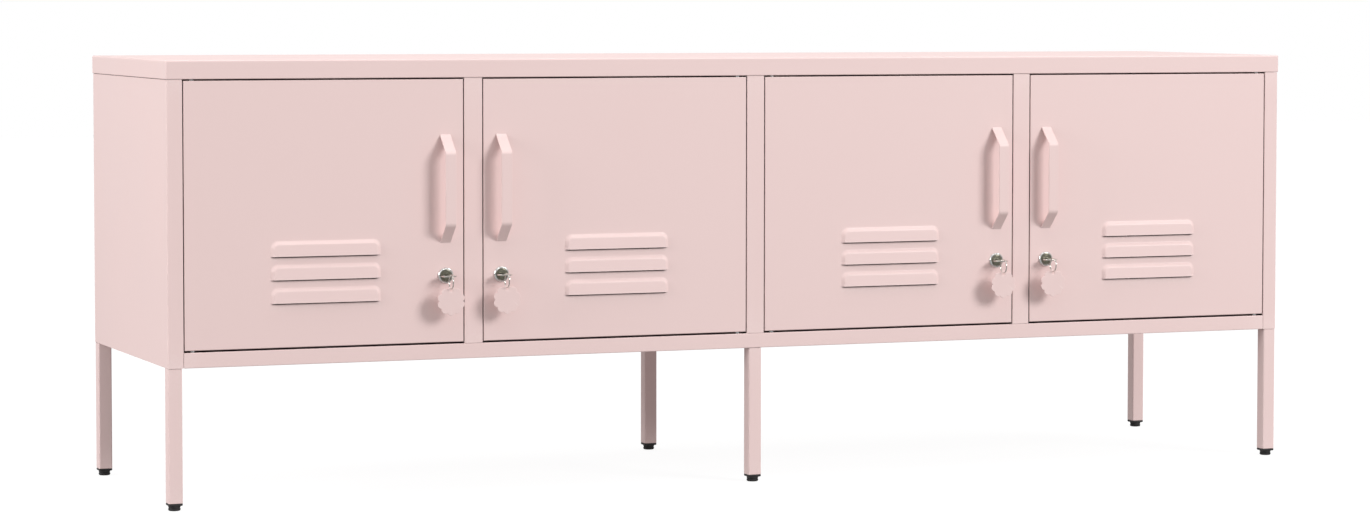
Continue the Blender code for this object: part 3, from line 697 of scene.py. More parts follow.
def level_tray(node, lip, fold, rounded, holes):
    """A tray that lies face up where a solid is."""
    low, high = corners(node)
    lines = (np.linspace(low[0], high[0], 61), np.linspace(low[1], high[1], 17))
    shell = tray(low[:2], high[:2], high[2] - low[2], (lip,) * 4, (fold,) * 4, lines=lines, rounded=rounded)
    shell = stand(shell, (1, 0, 0), (0, 1, 0), (0, 0, 1), (0, 0, high[2]))
    return finish(node + "_sheet", shell, powder_coat, node, SHEET, holes)


lid_holes = [upright_drill(PIN_HOLE, lid_low[2], 1, pin_spot(number, "top")) for number in DOORS]
lid_sheet = level_tray("lid", LID_LIP, LID_FOLD, True, lid_holes)
floor_low, floor_high = corners("floor_pan")
floor_holes = [upright_drill(PIN_HOLE, floor_high[2], -1, pin_spot(number, "bottom")) for number in DOORS]
for row in ("front", "rear"):
    floor_holes.append(upright_drill(STUD_HOLE, floor_low[2], 1, middle_of(f"leg_{row}_middle")))
floor_sheet = level_tray("floor_pan", FLOOR_LIP, FLOOR_FOLD, False, floor_holes)
print("lid faces", len(lid_sheet.data.polygons), "floor faces", len(floor_sheet.data.polygons))

# %% [markdown]
# ## Sides and back
# Each side is a tray stood on end, with its face outwards. Its front return is the corner post and the lip
# beyond is the jamb that the door shuts beside. The back is a plain shallow tray without lips.

# %% Make the sides and the back
SIDE_FOLD = 0.0025
SIDE_EDGE = 0.0006
JAMB_DEPTH = 0.021
SIDE_LIP = 0.010
BACK_FOLD = 0.0012


def side_sheet(node, out):
    """A tray whose across is from front to back and whose face looks along out, which is -1 or 1."""
    low, high = corners(node)
    lines = (np.linspace(low[1], high[1], 17), np.linspace(low[2], high[2], 17))
    folds = (SIDE_FOLD, SIDE_FOLD, SIDE_EDGE, SIDE_EDGE)
    lips = (JAMB_DEPTH, SIDE_LIP, SIDE_LIP, SIDE_LIP)
    shell = tray(low[1:], high[1:], high[0] - low[0], lips, folds, lines=lines)
    shell = stand(shell, (0, 1, 0), (0, 0, 1), (out, 0, 0), (low[0] if out < 0 else high[0], 0, 0))
    side = "left" if out < 0 else "right"
    legs_here = [f"leg_{row}_{side}" for row in ("front", "rear")]
    studs = [upright_drill(STUD_HOLE, low[2], 1, middle_of(leg)) for leg in legs_here]
    return finish(node + "_sheet", shell, powder_coat, node, SHEET, studs)


left_sheet = side_sheet("left_side_panel", -1)
right_sheet = side_sheet("right_side_panel", 1)
back_low, back_high = corners("back_panel")
back_lines = (np.linspace(back_low[0], back_high[0], 41), np.linspace(back_low[2], back_high[2], 11))
back_depth = back_high[1] - back_low[1]
back_shell = tray(back_low[[0, 2]], back_high[[0, 2]], back_depth, None, (BACK_FOLD,) * 4, lines=back_lines)
back_shell = stand(back_shell, (1, 0, 0), (0, 0, 1), (0, 1, 0), (0, back_high[1], 0))
back_sheet = finish("back_sheet", back_shell, powder_coat, "back_panel", SHEET)
print("side and back faces", [len(made.data.polygons) for made in (left_sheet, right_sheet, back_sheet)])

# %% [markdown]
# ## Stiles and partitions
# Between the doors stands a channel folded from one strip, with the partition sheet welded behind its
# middle. Its outline, seen from above, is the same at every height, so it is a profile carried straight up.

# %% Make the three stiles
STILE_FOLD = 0.0012


def quarter(centre, radius, start, end, steps=FOLD_STEPS):
    """Points of an arc between two angles in degrees."""
    angle = np.radians(np.linspace(start, end, steps + 1))
    return np.stack([centre[0] + radius * np.cos(angle), centre[1] + radius * np.sin(angle)], -1)


def stile(number):
    """Channel and partition as one outline in plan, carried from the floor to the lid."""
    node = f"divider_{number}"
    low, high = corners(node)
    middle, half, web = (low[0] + high[0]) / 2, (high[0] - low[0]) / 2, SHEET / 2
    depth, jamb, fold = high[1] - low[1], JAMB_DEPTH, STILE_FOLD
    right_half = np.concatenate([
        quarter((half - fold, fold), fold, -90, 0),
        [(half, jamb), (half - SHEET, jamb), (half - SHEET, SHEET), (web, SHEET), (web, depth)],
    ])
    outline = np.concatenate([right_half, right_half[::-1] * (-1, 1)])
    heights = np.linspace(low[2], high[2], 9)
    points = np.zeros((len(heights), len(outline), 3))
    points[..., :2] = outline + (middle, low[1])
    points[..., 2] = heights[:, None]
    shell = capped(points)
    return finish(f"stile_{number}", shell, powder_coat, node)


stiles = [stile(number) for number in (1, 2, 3)]
print("stiles", [made.name for made in stiles])

# %% [markdown]
# ## Door panels with pressed louvres
# A door is a tray whose face carries three louvres. A punch slits the sheet and pushes the metal above the
# slit outwards into a hood, deepest at the slit and rounded off at its sides and top. So the face is a
# height over the grid: a smooth step of the distance inside the hood's outline, times a depth that grows
# downwards. The row of points at each slit is doubled and the faces between are left out, so the hood
# really stands open.

# %% Height of the pressed hoods
LOUVRE_ROWS = 3
LOUVRE_WIDTH = 0.165
LOUVRE_HEIGHT = 0.023
LOUVRE_PITCH = 0.0335
LOUVRE_DEPTH = 0.0046
LOUVRE_CORNER = 0.0125
LOUVRE_SHOULDER = 0.0066
LOUVRE_BASE = 0.0636
LOUVRE_TOP_SHARE = 0.75
LOUVRE_SLIT = 0.0016
SLIT_TAPER = 0.008
FINE_FROM = 0.010  # height above a slit from which the face's grid is finer
DOOR_FOLD = 0.0012
DOOR_LIP = 0.012
HOUSING_HOLE = 0.0098


def smooth_step(share):
    """A rise from 0 to 1 that is level at both ends: share squared times 3 minus twice share."""
    share = np.clip(share, 0.0, 1.0)
    return share * share * (3 - 2 * share)


def hood_height(across, up, middle, slits):
    """Height of the face: the smooth step of the distance inside each hood's outline, times its depth."""
    height = np.zeros(across.shape)
    for slit in slits:
        side = LOUVRE_WIDTH / 2 - np.abs(across - middle)
        above = LOUVRE_HEIGHT - (up - slit)
        in_corner = (side < LOUVRE_CORNER) & (above < LOUVRE_CORNER)
        round_corner = LOUVRE_CORNER - np.hypot(LOUVRE_CORNER - side, LOUVRE_CORNER - above)
        inside = np.where(in_corner, round_corner, np.minimum(side, above))
        drop = np.clip(above / LOUVRE_HEIGHT, 0.0, 1.0)
        depth = LOUVRE_DEPTH * (LOUVRE_TOP_SHARE + (1 - LOUVRE_TOP_SHARE) * drop)
        here = (up >= slit) & (above > 0) & (side > 0)
        height = np.where(here, depth * smooth_step(inside / LOUVRE_SHOULDER), height)
    return height


def door_skin(number):
    """The folded door with its hoods, drilled for the lock and the pivot pins."""
    node = f"door_{number}_panel"
    low, high = corners(node)
    face_y = corners(f"door_{number}_handle")[1][1] + FIT
    middle = (low[0] + high[0]) / 2
    slits = low[2] + LOUVRE_BASE + LOUVRE_PITCH * np.arange(LOUVRE_ROWS)
    left, right = middle - LOUVRE_WIDTH / 2, middle + LOUVRE_WIDTH / 2
    left_end, right_end = left + LOUVRE_CORNER, right - LOUVRE_CORNER
    across = spread(
        (low[0], left, 9), (left, left_end, 17), (left_end, right_end, 9), (right_end, right, 17),
        (right, high[0], 9),
    )
    up = [np.linspace(low[2], slits[0], 5), np.linspace(slits[-1] + LOUVRE_HEIGHT, high[2], 9)]
    for slit in slits:
        finer = slit + FINE_FROM
        up += [np.linspace(slit, finer, 6), np.linspace(finer, slit + LOUVRE_HEIGHT, 17)]
    up = np.unique(np.round(np.concatenate(up), 7))
    shell = tray(
        low[[0, 2]], high[[0, 2]], high[1] - face_y, (DOOR_LIP,) * 4, (DOOR_FOLD,) * 4, lines=(across, up),
        press=lambda a, b: hood_height(a, b, middle, slits), slits=slits,
        cut=lambda a: LOUVRE_SLIT * smooth_step((LOUVRE_WIDTH / 2 - np.abs(a - middle)) / SLIT_TAPER),
    )
    shell = stand(shell, (1, 0, 0), (0, 0, 1), (0, -1, 0), (0, face_y, 0))
    lock = middle_of(f"door_{number}_lock_housing")
    drills = [
        bar(HOUSING_HOLE, face_y - DOOR_DRILL, face_y + DOOR_DRILL, 1, lock, 48),
        upright_drill(PIN_HOLE, low[2], 1, pin_spot(number, "bottom"), DOOR_DRILL),
        upright_drill(PIN_HOLE, high[2], -1, pin_spot(number, "top"), DOOR_DRILL),
    ]
    return finish(f"door_{number}_skin", shell, powder_coat, node, SHEET, drills)


door_skins = [door_skin(number) for number in DOORS]
print("door faces", [len(made.data.polygons) for made in door_skins])

# %% [markdown]
# ## Handles
# A handle is one flat strip, bent out from the door, straight along its middle and back again. It is a small
# rounded rectangle carried along a line with two arcs. At every station the section stands square to the
# line, so the strip keeps its width and thickness round the bends.

# %% Bend the strip handles
STRIP_WIDTH = 0.016
STRIP_THICKNESS = 0.002
STRIP_EDGE = 0.0006
STRIP_FLAT = 0.106
STRIP_BEND = 0.008


def rounded_section(width, height, radius, steps=4):
    """Points round a rectangle with quarter-circle corners, anticlockwise."""
    centres = [(1, 1, 0), (-1, 1, 90), (-1, -1, 180), (1, -1, 270)]
    parts = [
        quarter((sx * (width / 2 - radius), sy * (height / 2 - radius)), radius, start, start + 90, steps)
        for sx, sy, start in centres
    ]
    return np.concatenate(parts)


def directions(path):
    """Unit direction of a path at each point: the difference of its neighbours, made one long."""
    step = np.gradient(path, axis=0)
    return step / np.linalg.norm(step, axis=1, keepdims=True)


def strip_handle(number):
    """A rounded rectangle carried along the bent line, in the plane across the door's face."""
    node = f"door_{number}_handle"
    low, high = corners(node)
    middle = (low + high) / 2
    proud, span = high[1] - low[1], high[2] - low[2]
    rise = (span - STRIP_FLAT) / 2
    slope = math.atan2(proud, rise)
    half = STRIP_THICKNESS / 2
    corner_z = STRIP_FLAT / 2 - half * math.tan(slope / 2)
    bend_z = corner_z - STRIP_BEND * math.tan(slope / 2)
    front = low[1] + half
    arc = quarter((front + STRIP_BEND, bend_z), STRIP_BEND, 180, 180 - math.degrees(slope), 12)
    end_y = high[1]
    leg_end = arc[-1] + (end_y - arc[-1][0]) * np.array([1.0, 1.0 / math.tan(slope)])
    leg = arc[-1] + (leg_end - arc[-1]) * np.linspace(0, 1, 6)[1:, None]
    flat = np.stack([np.full(7, front), np.linspace(0, bend_z, 7)], -1)[:-1]
    upper = np.concatenate([flat, arc, leg])
    line = np.concatenate([upper[:0:-1] * (1, -1), upper])
    along = directions(line)
    normal = np.stack([-along[:, 1], along[:, 0]], -1)
    section = rounded_section(STRIP_WIDTH, STRIP_THICKNESS, STRIP_EDGE)
    points = np.zeros((len(line), len(section), 3))
    points[..., 0] = middle[0] + section[:, 0]
    across_y = line[:, None, 0] + normal[:, None, 0] * section[:, 1]
    across_z = line[:, None, 1] + normal[:, None, 1] * section[:, 1]
    # The two ends are cut flat against the door: points there slide along the leg until they meet its face.
    for end in (0, -1):
        run = along[end] / along[end][0]
        slide = end_y - across_y[end]
        across_y[end] += slide
        across_z[end] += slide * run[1]
    points[..., 1] = across_y
    points[..., 2] = middle[2] + across_z
    shell = capped(points)
    return finish(f"door_{number}_pull", shell, powder_coat, node)


handles = [strip_handle(number) for number in DOORS]
print("handle faces", [len(made.data.polygons) for made in handles])

# %% [markdown]
# ## Turned pieces
# Lock housings, plugs and pivot pins are turned. A turned piece is an outline of radius and height carried
# round an axis. Where the radius may also change with the angle, the same tool cuts a screw thread, a
# hexagonal nut or a slot that fades into a circle.


# %% Carry an outline round an axis
def turned(outline, places=64, ripple=None):
    """Points (stations, places, 3) about the third axis, at radius times cosine and sine of the angle.

    ripple gives the radius at each point from the radius, height and angle.
    """
    angle = np.linspace(0, 2 * math.pi, places, endpoint=False)[None]
    radius, height = np.array(outline, float).T[:, :, None]
    if ripple:
        radius = ripple(radius, height, angle)
    radius = radius + 0 * angle
    return np.stack([radius * np.cos(angle), radius * np.sin(angle), height + 0 * angle], -1)


def rounded_outline(corners_of_outline, radius, steps=3):
    """The outline of a closed shape with each corner replaced by a short curve.

    The curve is the quadratic blend of three points: one before the corner, the corner, one after it.
    """
    points = np.array(corners_of_outline, float)
    before, after = np.roll(points, 1, 0), np.roll(points, -1, 0)
    share = np.linspace(0, 1, steps + 1)[None, :, None]

    def toward(target):
        gap = np.linalg.norm(target - points, axis=1, keepdims=True)
        return points + (target - points) * np.minimum(radius / gap, 0.45)

    start, end = toward(before)[:, None], toward(after)[:, None]
    curve = (1 - share) ** 2 * start + 2 * share * (1 - share) * points[:, None] + share**2 * end
    return curve.reshape(-1, 2)


def facing_out(points, spot):
    """Turn a piece about the third axis so that its top faces out of the door, at a spot on its face."""
    shape = points.shape
    flat = points.reshape(-1, 3)
    turned_points = np.stack([flat[:, 0], -flat[:, 2], flat[:, 1]], -1) + np.array(spot)
    return turned_points.reshape(shape)


def hexagon(radius, angle):
    """Radius of a hexagon whose corners lie at the given radius."""
    turn = np.mod(angle, math.pi / 3) - math.pi / 6
    return radius * math.cos(math.pi / 6) / np.cos(turn)


# %% Lock housings
BEZEL_RADIUS = 0.01175
BEZEL_THICKNESS = 0.0028
BARREL_RADIUS = 0.0095
NUT_RADIUS = 0.0125
NUT_THICKNESS = 0.004
NUT_EDGE = 0.0004
PLUG_BORE = 0.0087
SHAFT_BORE = 0.0063
PLUG_HEAD = 0.0084
PLUG_HEAD_LENGTH = 0.008
PLUG_SHAFT = 0.0060
PLUG_RECESS = 0.0005
THREAD_PITCH = 0.001
THREAD_DEPTH = 0.0005


def lock_spot(number):
    """Where a lock's axis meets the door's face."""
    low, high = corners(f"door_{number}_lock_housing")
    return np.array([(low[0] + high[0]) / 2, low[1] + BEZEL_THICKNESS, (low[2] + high[2]) / 2])


def lock_housing(number):
    """Bezel and threaded barrel in one turned shell, and a hexagonal nut in a second."""
    node = f"door_{number}_lock_housing"
    low, high = corners(node)
    spot = lock_spot(number)
    length = high[1] - spot[1]
    step = BEZEL_THICKNESS - PLUG_RECESS - PLUG_HEAD_LENGTH - FIT
    dome = [(PLUG_BORE, 0.0021), (PLUG_BORE + 0.0004, 0.0025), (0.0100, BEZEL_THICKNESS), (0.0108, 0.0025),
            (BEZEL_RADIUS - 0.0002, 0.0016), (BEZEL_RADIUS, 0.0009), (BEZEL_RADIUS, FIT)]
    barrel = [(BARREL_RADIUS, FIT), (BARREL_RADIUS, -0.0015)]
    threaded = [(BARREL_RADIUS, h) for h in np.linspace(-0.0018, -length + 0.0008, 100)]
    inside = [(BARREL_RADIUS - 0.0006, -length), (SHAFT_BORE, -length)]
    inside += [(SHAFT_BORE, step), (PLUG_BORE, step)]
    outline = dome + barrel + threaded + inside
    threads = np.zeros(len(outline))
    threads[len(dome) + 2:len(dome) + 1 + len(threaded)] = 1.0

    def thread(radius, height, angle):
        """The barrel's radius less a ridge wave that climbs one pitch for each turn."""
        phase = np.mod(height / THREAD_PITCH + angle / (2 * math.pi), 1.0)
        return radius - threads[:, None] * THREAD_DEPTH * np.abs(2 * phase - 1)

    shells = [looped(facing_out(turned(outline, 64, thread), spot))]
    top = -SHEET - FIT
    bore = BARREL_RADIUS - THREAD_DEPTH / 2
    under = top - NUT_THICKNESS
    nut = rounded_outline([(bore, top), (NUT_RADIUS, top), (NUT_RADIUS, under), (bore, under)], NUT_EDGE)

    def flats(radius, height, angle):
        """The outer part of the outline follows a hexagon and the bore stays round."""
        return np.where(radius > BARREL_RADIUS + 0.001, hexagon(radius, angle), radius)

    shells.append(looped(facing_out(turned(nut, 72, flats), spot)))
    return finish(f"door_{number}_lock_barrel", merged(shells), chrome, node)


housings = [lock_housing(number) for number in DOORS]
print("housing faces", [len(made.data.polygons) for made in housings])

# %% [markdown]
# ### Plugs
# The plug turns inside the housing and carries the keyway. Each station of its surface is a ring of points
# at even angles. The first rings follow the keyway's outline, going up from its floor, and the next follow
# a circle, so one grid makes the slot, the face, the head, the shaft and the square tail.

# %% Lock plugs
KEYWAY_WIDTH = 0.0081
KEYWAY_HEIGHT = 0.0024
BLADE_LENGTH = 0.0190
TAIL_WIDTH = 0.0070


def box_radius(angle, half_width, half_height):
    """Distance from the middle to the side of a rectangle, at each angle."""
    cosine, sine = np.abs(np.cos(angle)), np.abs(np.sin(angle))
    return np.minimum(half_width / np.maximum(cosine, 1e-9), half_height / np.maximum(sine, 1e-9))


def lock_plug(number):
    """Rings of points: keyway floor and mouth, face, head, shaft, square tail."""
    node = f"door_{number}_lock_plug"
    low, high = corners(node)
    spot = lock_spot(number)
    face = BEZEL_THICKNESS - PLUG_RECESS
    back = -(corners(f"door_{number}_lock_housing")[1][1] - spot[1])
    tail = -(high[1] - spot[1])
    places = 120
    corner_angle = math.atan2(KEYWAY_HEIGHT, KEYWAY_WIDTH)
    angle = np.sort(np.concatenate([
        np.linspace(0, 2 * math.pi, places, endpoint=False),
        [corner_angle, math.pi - corner_angle, math.pi + corner_angle, 2 * math.pi - corner_angle],
    ]))
    slot = box_radius(angle, KEYWAY_WIDTH / 2, KEYWAY_HEIGHT / 2)
    square = box_radius(angle, TAIL_WIDTH / 2, TAIL_WIDTH / 2)
    even = np.ones_like(angle)
    stations = [
        (slot, face - BLADE_LENGTH - 2 * FIT), (slot, face - 0.0003),
        (slot + 0.00025, face), (even * 0.0058, face), (even * 0.0061, face - 0.00025), (even * 0.0064, face),
        (even * (PLUG_HEAD - 0.0004), face), (even * (PLUG_HEAD - 0.0001), face - 0.00012),
        (even * PLUG_HEAD, face - 0.0004), (even * PLUG_HEAD, face - PLUG_HEAD_LENGTH),
        (even * PLUG_SHAFT, face - PLUG_HEAD_LENGTH), (even * PLUG_SHAFT, back), (square, back),
        (square, tail + 0.0004), (square * 0.92, tail),
    ]
    points = np.stack([np.stack([r * np.cos(angle), r * np.sin(angle), even * h], -1) for r, h in stations])
    shell = capped(facing_out(points, spot))
    return finish(f"door_{number}_plug", shell, nickel, node)


plugs = [lock_plug(number) for number in DOORS]
print("plug faces", [len(made.data.polygons) for made in plugs])

# %% [markdown]
# ### Pivot pins
# A pin stands in the rail or the lid, with a low collar in the gap that carries the door.

# %% Pivot pins
PIN_RADIUS = 0.0025
PIN_HEAD = 0.0015
PIN_EDGE = 0.0003
PIN_TIP = 0.0007


def pivot_pin(number, end):
    """A turned pin whose outline goes from its head, past the sheet and the collar, to its bevelled tip."""
    node = f"door_{number}_pin_{end}"
    low, high = corners(node)
    middle = (low + high) / 2
    panel_low, panel_high = corners(f"door_{number}_panel")
    gap = panel_low[2] - floor_high[2] if end == "bottom" else lid_low[2] - panel_high[2]
    height = high[2] - low[2]
    base = SHEET + FIT + PIN_HEAD
    start, stop = base + FIT, base + gap - FIT
    collar, shank = (high[0] - low[0]) / 2, PIN_RADIUS
    outline = [
        (collar - PIN_EDGE, 0.0), (collar, PIN_EDGE), (collar, PIN_HEAD), (shank, PIN_HEAD), (shank, start),
        (collar - PIN_EDGE, start), (collar, start + PIN_EDGE), (collar, stop - PIN_EDGE),
        (collar - PIN_EDGE, stop), (shank, stop), (shank, height - PIN_TIP), (shank - PIN_TIP, height),
    ]
    points = turned(outline, 32)
    if end == "top":
        points = points * (1, 1, -1) + (0, 0, height)
    points = points + (middle[0], middle[1], low[2])
    shell = capped(points)
    return finish(f"door_{number}_pivot_{end}", shell, zinc, node)


pins = [pivot_pin(number, end) for number in DOORS for end in ("bottom", "top")]
print("pins", len(pins))

# %% [markdown]
# ## Keys, rings and tags
# A key's bow and a tag are both flat discs with a hole off to one side. Even rings round a centre can be
# moved off centre without kinks by the Moebius map of the unit disc, z to (z + c) / (1 + c z), which turns
# circles into circles. So both are a grid of angle by distance, with the scallops of the tag added on the
# outer rings.


# %% A disc with a hole near its rim
def hole_map(radius, hole, offset):
    """The map's constant and inner ring that give a hole of that radius, its middle offset from the centre.

    The map sends the ends of the inner ring's diameter, -q and q, to the ends of the hole's diameter.
    """
    near, far = (offset - hole) / radius, (offset + hole) / radius
    # (q + c) / (1 + c q) = far and (-q + c) / (1 - c q) = near: their sum gives a quadratic in c.
    total, product = near + far, near * far
    c = (1 + product - math.sqrt((1 + product) ** 2 - total**2)) / total
    q = (far - c) / (1 - c * far)
    return c, q


def holed_disc(radius, hole, offset, thickness, edge, places=120, scallop=None):
    """Stations from the hole's lower rim, over both faces and the outer rim, and back to the hole."""
    c, q = hole_map(radius, hole, offset)
    # The map crowds its points near the hole and spreads them on the far side. Taking even angles half way
    # through the map, by the root of its stretch, shares that out between the hole and the rim.
    root = math.sqrt((1 + c) / (1 - c))
    half_way = (root - 1) / (root + 1)
    even = np.exp(1j * np.linspace(0, 2 * math.pi, places, endpoint=False))
    unit = (even - half_way) / (1 - half_way * even)
    rings = q + (1 - q) * np.linspace(0, 1, 12) ** 0.8

    def place(ring, grow=0.0, lift=0.0):
        """One ring of the map, moved out by grow along its own normal and up by lift."""
        z = ring * unit
        w = (z + c) / (1 + c * z) * radius
        turn, distance = np.angle(w), np.abs(w)
        if scallop is not None:
            reach = (ring - q) / (1 - q)
            distance = distance * (1 + (scallop(turn) - 1) * reach)
        x, y = distance * np.cos(turn), distance * np.sin(turn)
        along_x, along_y = (np.gradient(np.r_[line[-1], line, line[0]])[1:-1] for line in (x, y))
        slope = np.stack([along_y, -along_x])
        slope = slope / np.linalg.norm(slope, axis=0)
        return np.stack([x + slope[0] * grow, y + slope[1] * grow, x * 0 + lift], -1)

    half = thickness / 2
    # The rings nearest the hole and the rim are left out, because the rounded edges take up their width.
    flat = rings[2:-3]
    low = [place(ring, 0.0, -half) for ring in flat]
    high = [place(ring, 0.0, half) for ring in flat[::-1]]
    rim = [place(rings[-1], -edge * (1 - math.sin(t)), -half + edge * (1 - math.cos(t)))
           for t in np.linspace(0, math.pi / 2, 4)]
    rim += [ring * (1, 1, -1) for ring in rim[::-1]]
    bore = [place(rings[0], edge * (1 - math.sin(t)), half - edge * (1 - math.cos(t)))
            for t in np.linspace(0, math.pi / 2, 4)]
    bore += [ring * (1, 1, -1) for ring in bore[::-1]]
    return np.stack(low + rim + high + bore)


trial_disc = (0.021, 0.0025, 0.016)  # radius, hole and offset of a disc the size of a tag
print("map constant of such a disc:", [round(value, 3) for value in hole_map(*trial_disc)])

# %% Key tags
TAG_RADIUS = 0.0210
TAG_THICKNESS = 0.0012
TAG_HOLE = 0.0025
TAG_RIM = 0.0025
TAG_LOBES = 10
TAG_SWELL = 1.3
TAG_EDGE = 0.00035


def lobes(turn):
    """Radius of the scalloped edge as a share of the tag's: where a ray leaves a lobe's circle."""
    half = math.pi / TAG_LOBES
    spread_of_lobe = math.sin(half) * TAG_SWELL
    middle = 1 / (1 + spread_of_lobe)
    lobe = middle * spread_of_lobe
    within = np.mod(turn + half, 2 * half) - half
    return middle * np.cos(within) + np.sqrt(np.maximum(lobe**2 - (middle * np.sin(within)) ** 2, 0))


def key_tag(number):
    """A scalloped disc that hangs by the hole in its top lobe and faces out of the door."""
    node = f"door_{number}_key_tag"
    low, high = corners(node)
    offset = TAG_RADIUS - TAG_RIM - TAG_HOLE
    disc = holed_disc(TAG_RADIUS, TAG_HOLE, offset, TAG_THICKNESS, TAG_EDGE, 360, lobes)
    disc = np.stack([-disc[..., 1], disc[..., 0], disc[..., 2]], -1)
    centre = np.array([(low[0] + high[0]) / 2, (low[1] + high[1]) / 2, high[2] - TAG_RADIUS])
    shell = looped(facing_out(disc, centre))
    return finish(f"door_{number}_tag", shell, tag_enamel, node)


tags = [key_tag(number) for number in DOORS]
print("tag faces", [len(made.data.polygons) for made in tags])

# %% Keys
KEY_THICKNESS = 0.0018
BOW_RADIUS = 0.0112
BOW_REACH = 0.0272
BOW_HOLE = 0.0040
BOW_RIM = 0.0024
BLADE_WIDTH = 0.0075
BLADE_NOTCH = 0.0012
BLADE_LEAD = 0.0030
BLADE_TIP = 0.0020
KEY_EDGE = 0.0003
NOTCHES = 4
BOW_ROOT = 0.0015


def key_blade(face, notch_side):
    """The blade as sections across its length: each is a flattened ring with a groove above and below.

    It starts inside the bow, so that the two meet.
    """
    start = BOW_REACH - 2 * BOW_RADIUS + BOW_ROOT
    y = np.linspace(-start, BLADE_LENGTH - face, 72)
    half = BLADE_WIDTH / 2
    along = (y + face - BLADE_LEAD) / (BLADE_LENGTH - BLADE_LEAD - BLADE_TIP) * NOTCHES
    tooth = np.abs(np.mod(along, 1.0) - 0.4)
    deep = BLADE_NOTCH * (0.6 + 0.4 * np.mod(np.floor(along), 2))
    cut = np.where((along > 0) & (along < NOTCHES), deep * np.clip(1 - tooth / 0.4, 0, 1), 0)
    tip = np.clip(y + face - BLADE_LENGTH + BLADE_TIP, 0, BLADE_TIP)
    section = rounded_section(2.0, 2.0, 0.12, 2)
    side = section[:, 0]
    groove = 1 - 0.42 * np.exp(-(((side - 0.15) / 0.22) ** 2))
    notched, plain = (half - np.maximum(cut, tip))[:, None], (half - tip)[:, None]
    width = np.where(side[None] * notch_side > 0, notched, plain)
    points = np.zeros((len(y), len(section), 3))
    points[..., 0] = side * width
    points[..., 1] = y[:, None]
    points[..., 2] = section[:, 1] * groove * (KEY_THICKNESS / 2 - 0.00006)
    return surface(points, around=True, ends=True)


def door_key(number):
    """Bow and blade, lying flat in the lock, with the ring's hole near the end of the bow."""
    node = f"door_{number}_key"
    spot = lock_spot(number)
    face = BEZEL_THICKNESS - PLUG_RECESS
    bow = holed_disc(BOW_RADIUS, BOW_HOLE, BOW_RADIUS - BOW_RIM - BOW_HOLE, KEY_THICKNESS, KEY_EDGE)
    bow = np.stack([bow[..., 1], -bow[..., 0] - BOW_REACH + BOW_RADIUS, bow[..., 2]], -1)
    notch_side = 1 if number in (1, 3) else -1
    bow = looped(bow)
    points, faces = merged([bow, outward(key_blade(face, notch_side))])
    return finish(f"door_{number}_lock_key", (points + spot, faces), key_steel, node)


keys = [door_key(number) for number in DOORS]
print("key faces", [len(made.data.polygons) for made in keys])

# %% Split rings
RING_COILS = 2.0
RING_WIRE = 0.00082


def split_ring(number):
    """Flattened wire wound twice round: a helix whose two turns lie side by side."""
    node = f"door_{number}_key_ring"
    low, high = corners(node)
    centre = (low + high) / 2
    radius = (high[2] - low[2]) / 2 - RING_WIRE
    share = np.linspace(0, 1, 161)
    angle = share * 2 * math.pi * RING_COILS + 0.9
    shift = (smooth_step((share - 0.44) / 0.12) - 0.5) * RING_WIRE
    section = rounded_section(RING_WIRE * 0.94, RING_WIRE * 1.5, RING_WIRE * 0.28, 2)
    away = radius + section[None, :, 1]
    points = np.zeros((len(share), len(section), 3))
    points[..., 0] = centre[0] + shift[:, None] + section[:, 0]
    points[..., 1] = centre[1] + away * np.cos(angle)[:, None]
    points[..., 2] = centre[2] + away * np.sin(angle)[:, None]
    shell = capped(points)
    return finish(f"door_{number}_ring", shell, key_steel, node)


rings = [split_ring(number) for number in DOORS]
print("ring faces", [len(made.data.polygons) for made in rings])

# %% Cams
CAM_WIDTH = 0.016


def lock_cam(number):
    """A flat bar with round ends. Rays from the square hole meet the outline at their own angles."""
    node = f"door_{number}_lock_cam"
    low, high = corners(node)
    spot = lock_spot(number)
    half = CAM_WIDTH / 2
    reach = high[2] - spot[2]
    round_ends = [quarter((0, 0), half, 180, 360, 20), quarter((0, reach - half), half, 0, 180, 20)]
    outline = np.concatenate(round_ends)
    angle = np.arctan2(outline[:, 1], outline[:, 0])
    hole = box_radius(angle, TAIL_WIDTH / 2 + FIT, TAIL_WIDTH / 2 + FIT)
    inner = np.stack([hole * np.cos(angle), hole * np.sin(angle)], -1)
    edge = 0.0003
    inside = outline * (1 - edge / half)
    back, front = 0.0, high[1] - low[1]
    rings_of_cam = [(inner, back), (inside, back), (outline, back + edge), (outline, front - edge),
                    (inside, front), (inner, front)]
    points = np.stack([np.concatenate([line, np.full((len(line), 1), h)], 1) for line, h in rings_of_cam])
    points = np.stack([points[..., 0] + spot[0], high[1] - points[..., 2], points[..., 1] + spot[2]], -1)
    shell = looped(points)
    return finish(f"door_{number}_cam", shell, zinc, node)


cams = [lock_cam(number) for number in DOORS]
print("cams", [made.name for made in cams])

# %% [markdown]
# ## Legs and feet
# A leg is a square tube with rounded corners, closed at its top and bolted to the body by a stud. Under it a
# black plastic insert ends in a flange and a round glide. Both are squares or circles carried upwards.

# %% Make the legs
LEG_WIDTH = 0.0205
LEG_WALL = 0.0015
LEG_CORNER = 0.0022
STUD_RADIUS = 0.0040


def square_rings(stations, spot):
    """Rounded squares at several heights: each station is half width, corner radius and height."""
    rings_up = []
    for half, corner, height in stations:
        ring = rounded_section(2 * half, 2 * half, corner, 5)
        rings_up.append(np.concatenate([ring, np.full((len(ring), 1), height)], 1))
    return np.stack(rings_up) + np.array([spot[0], spot[1], 0.0])


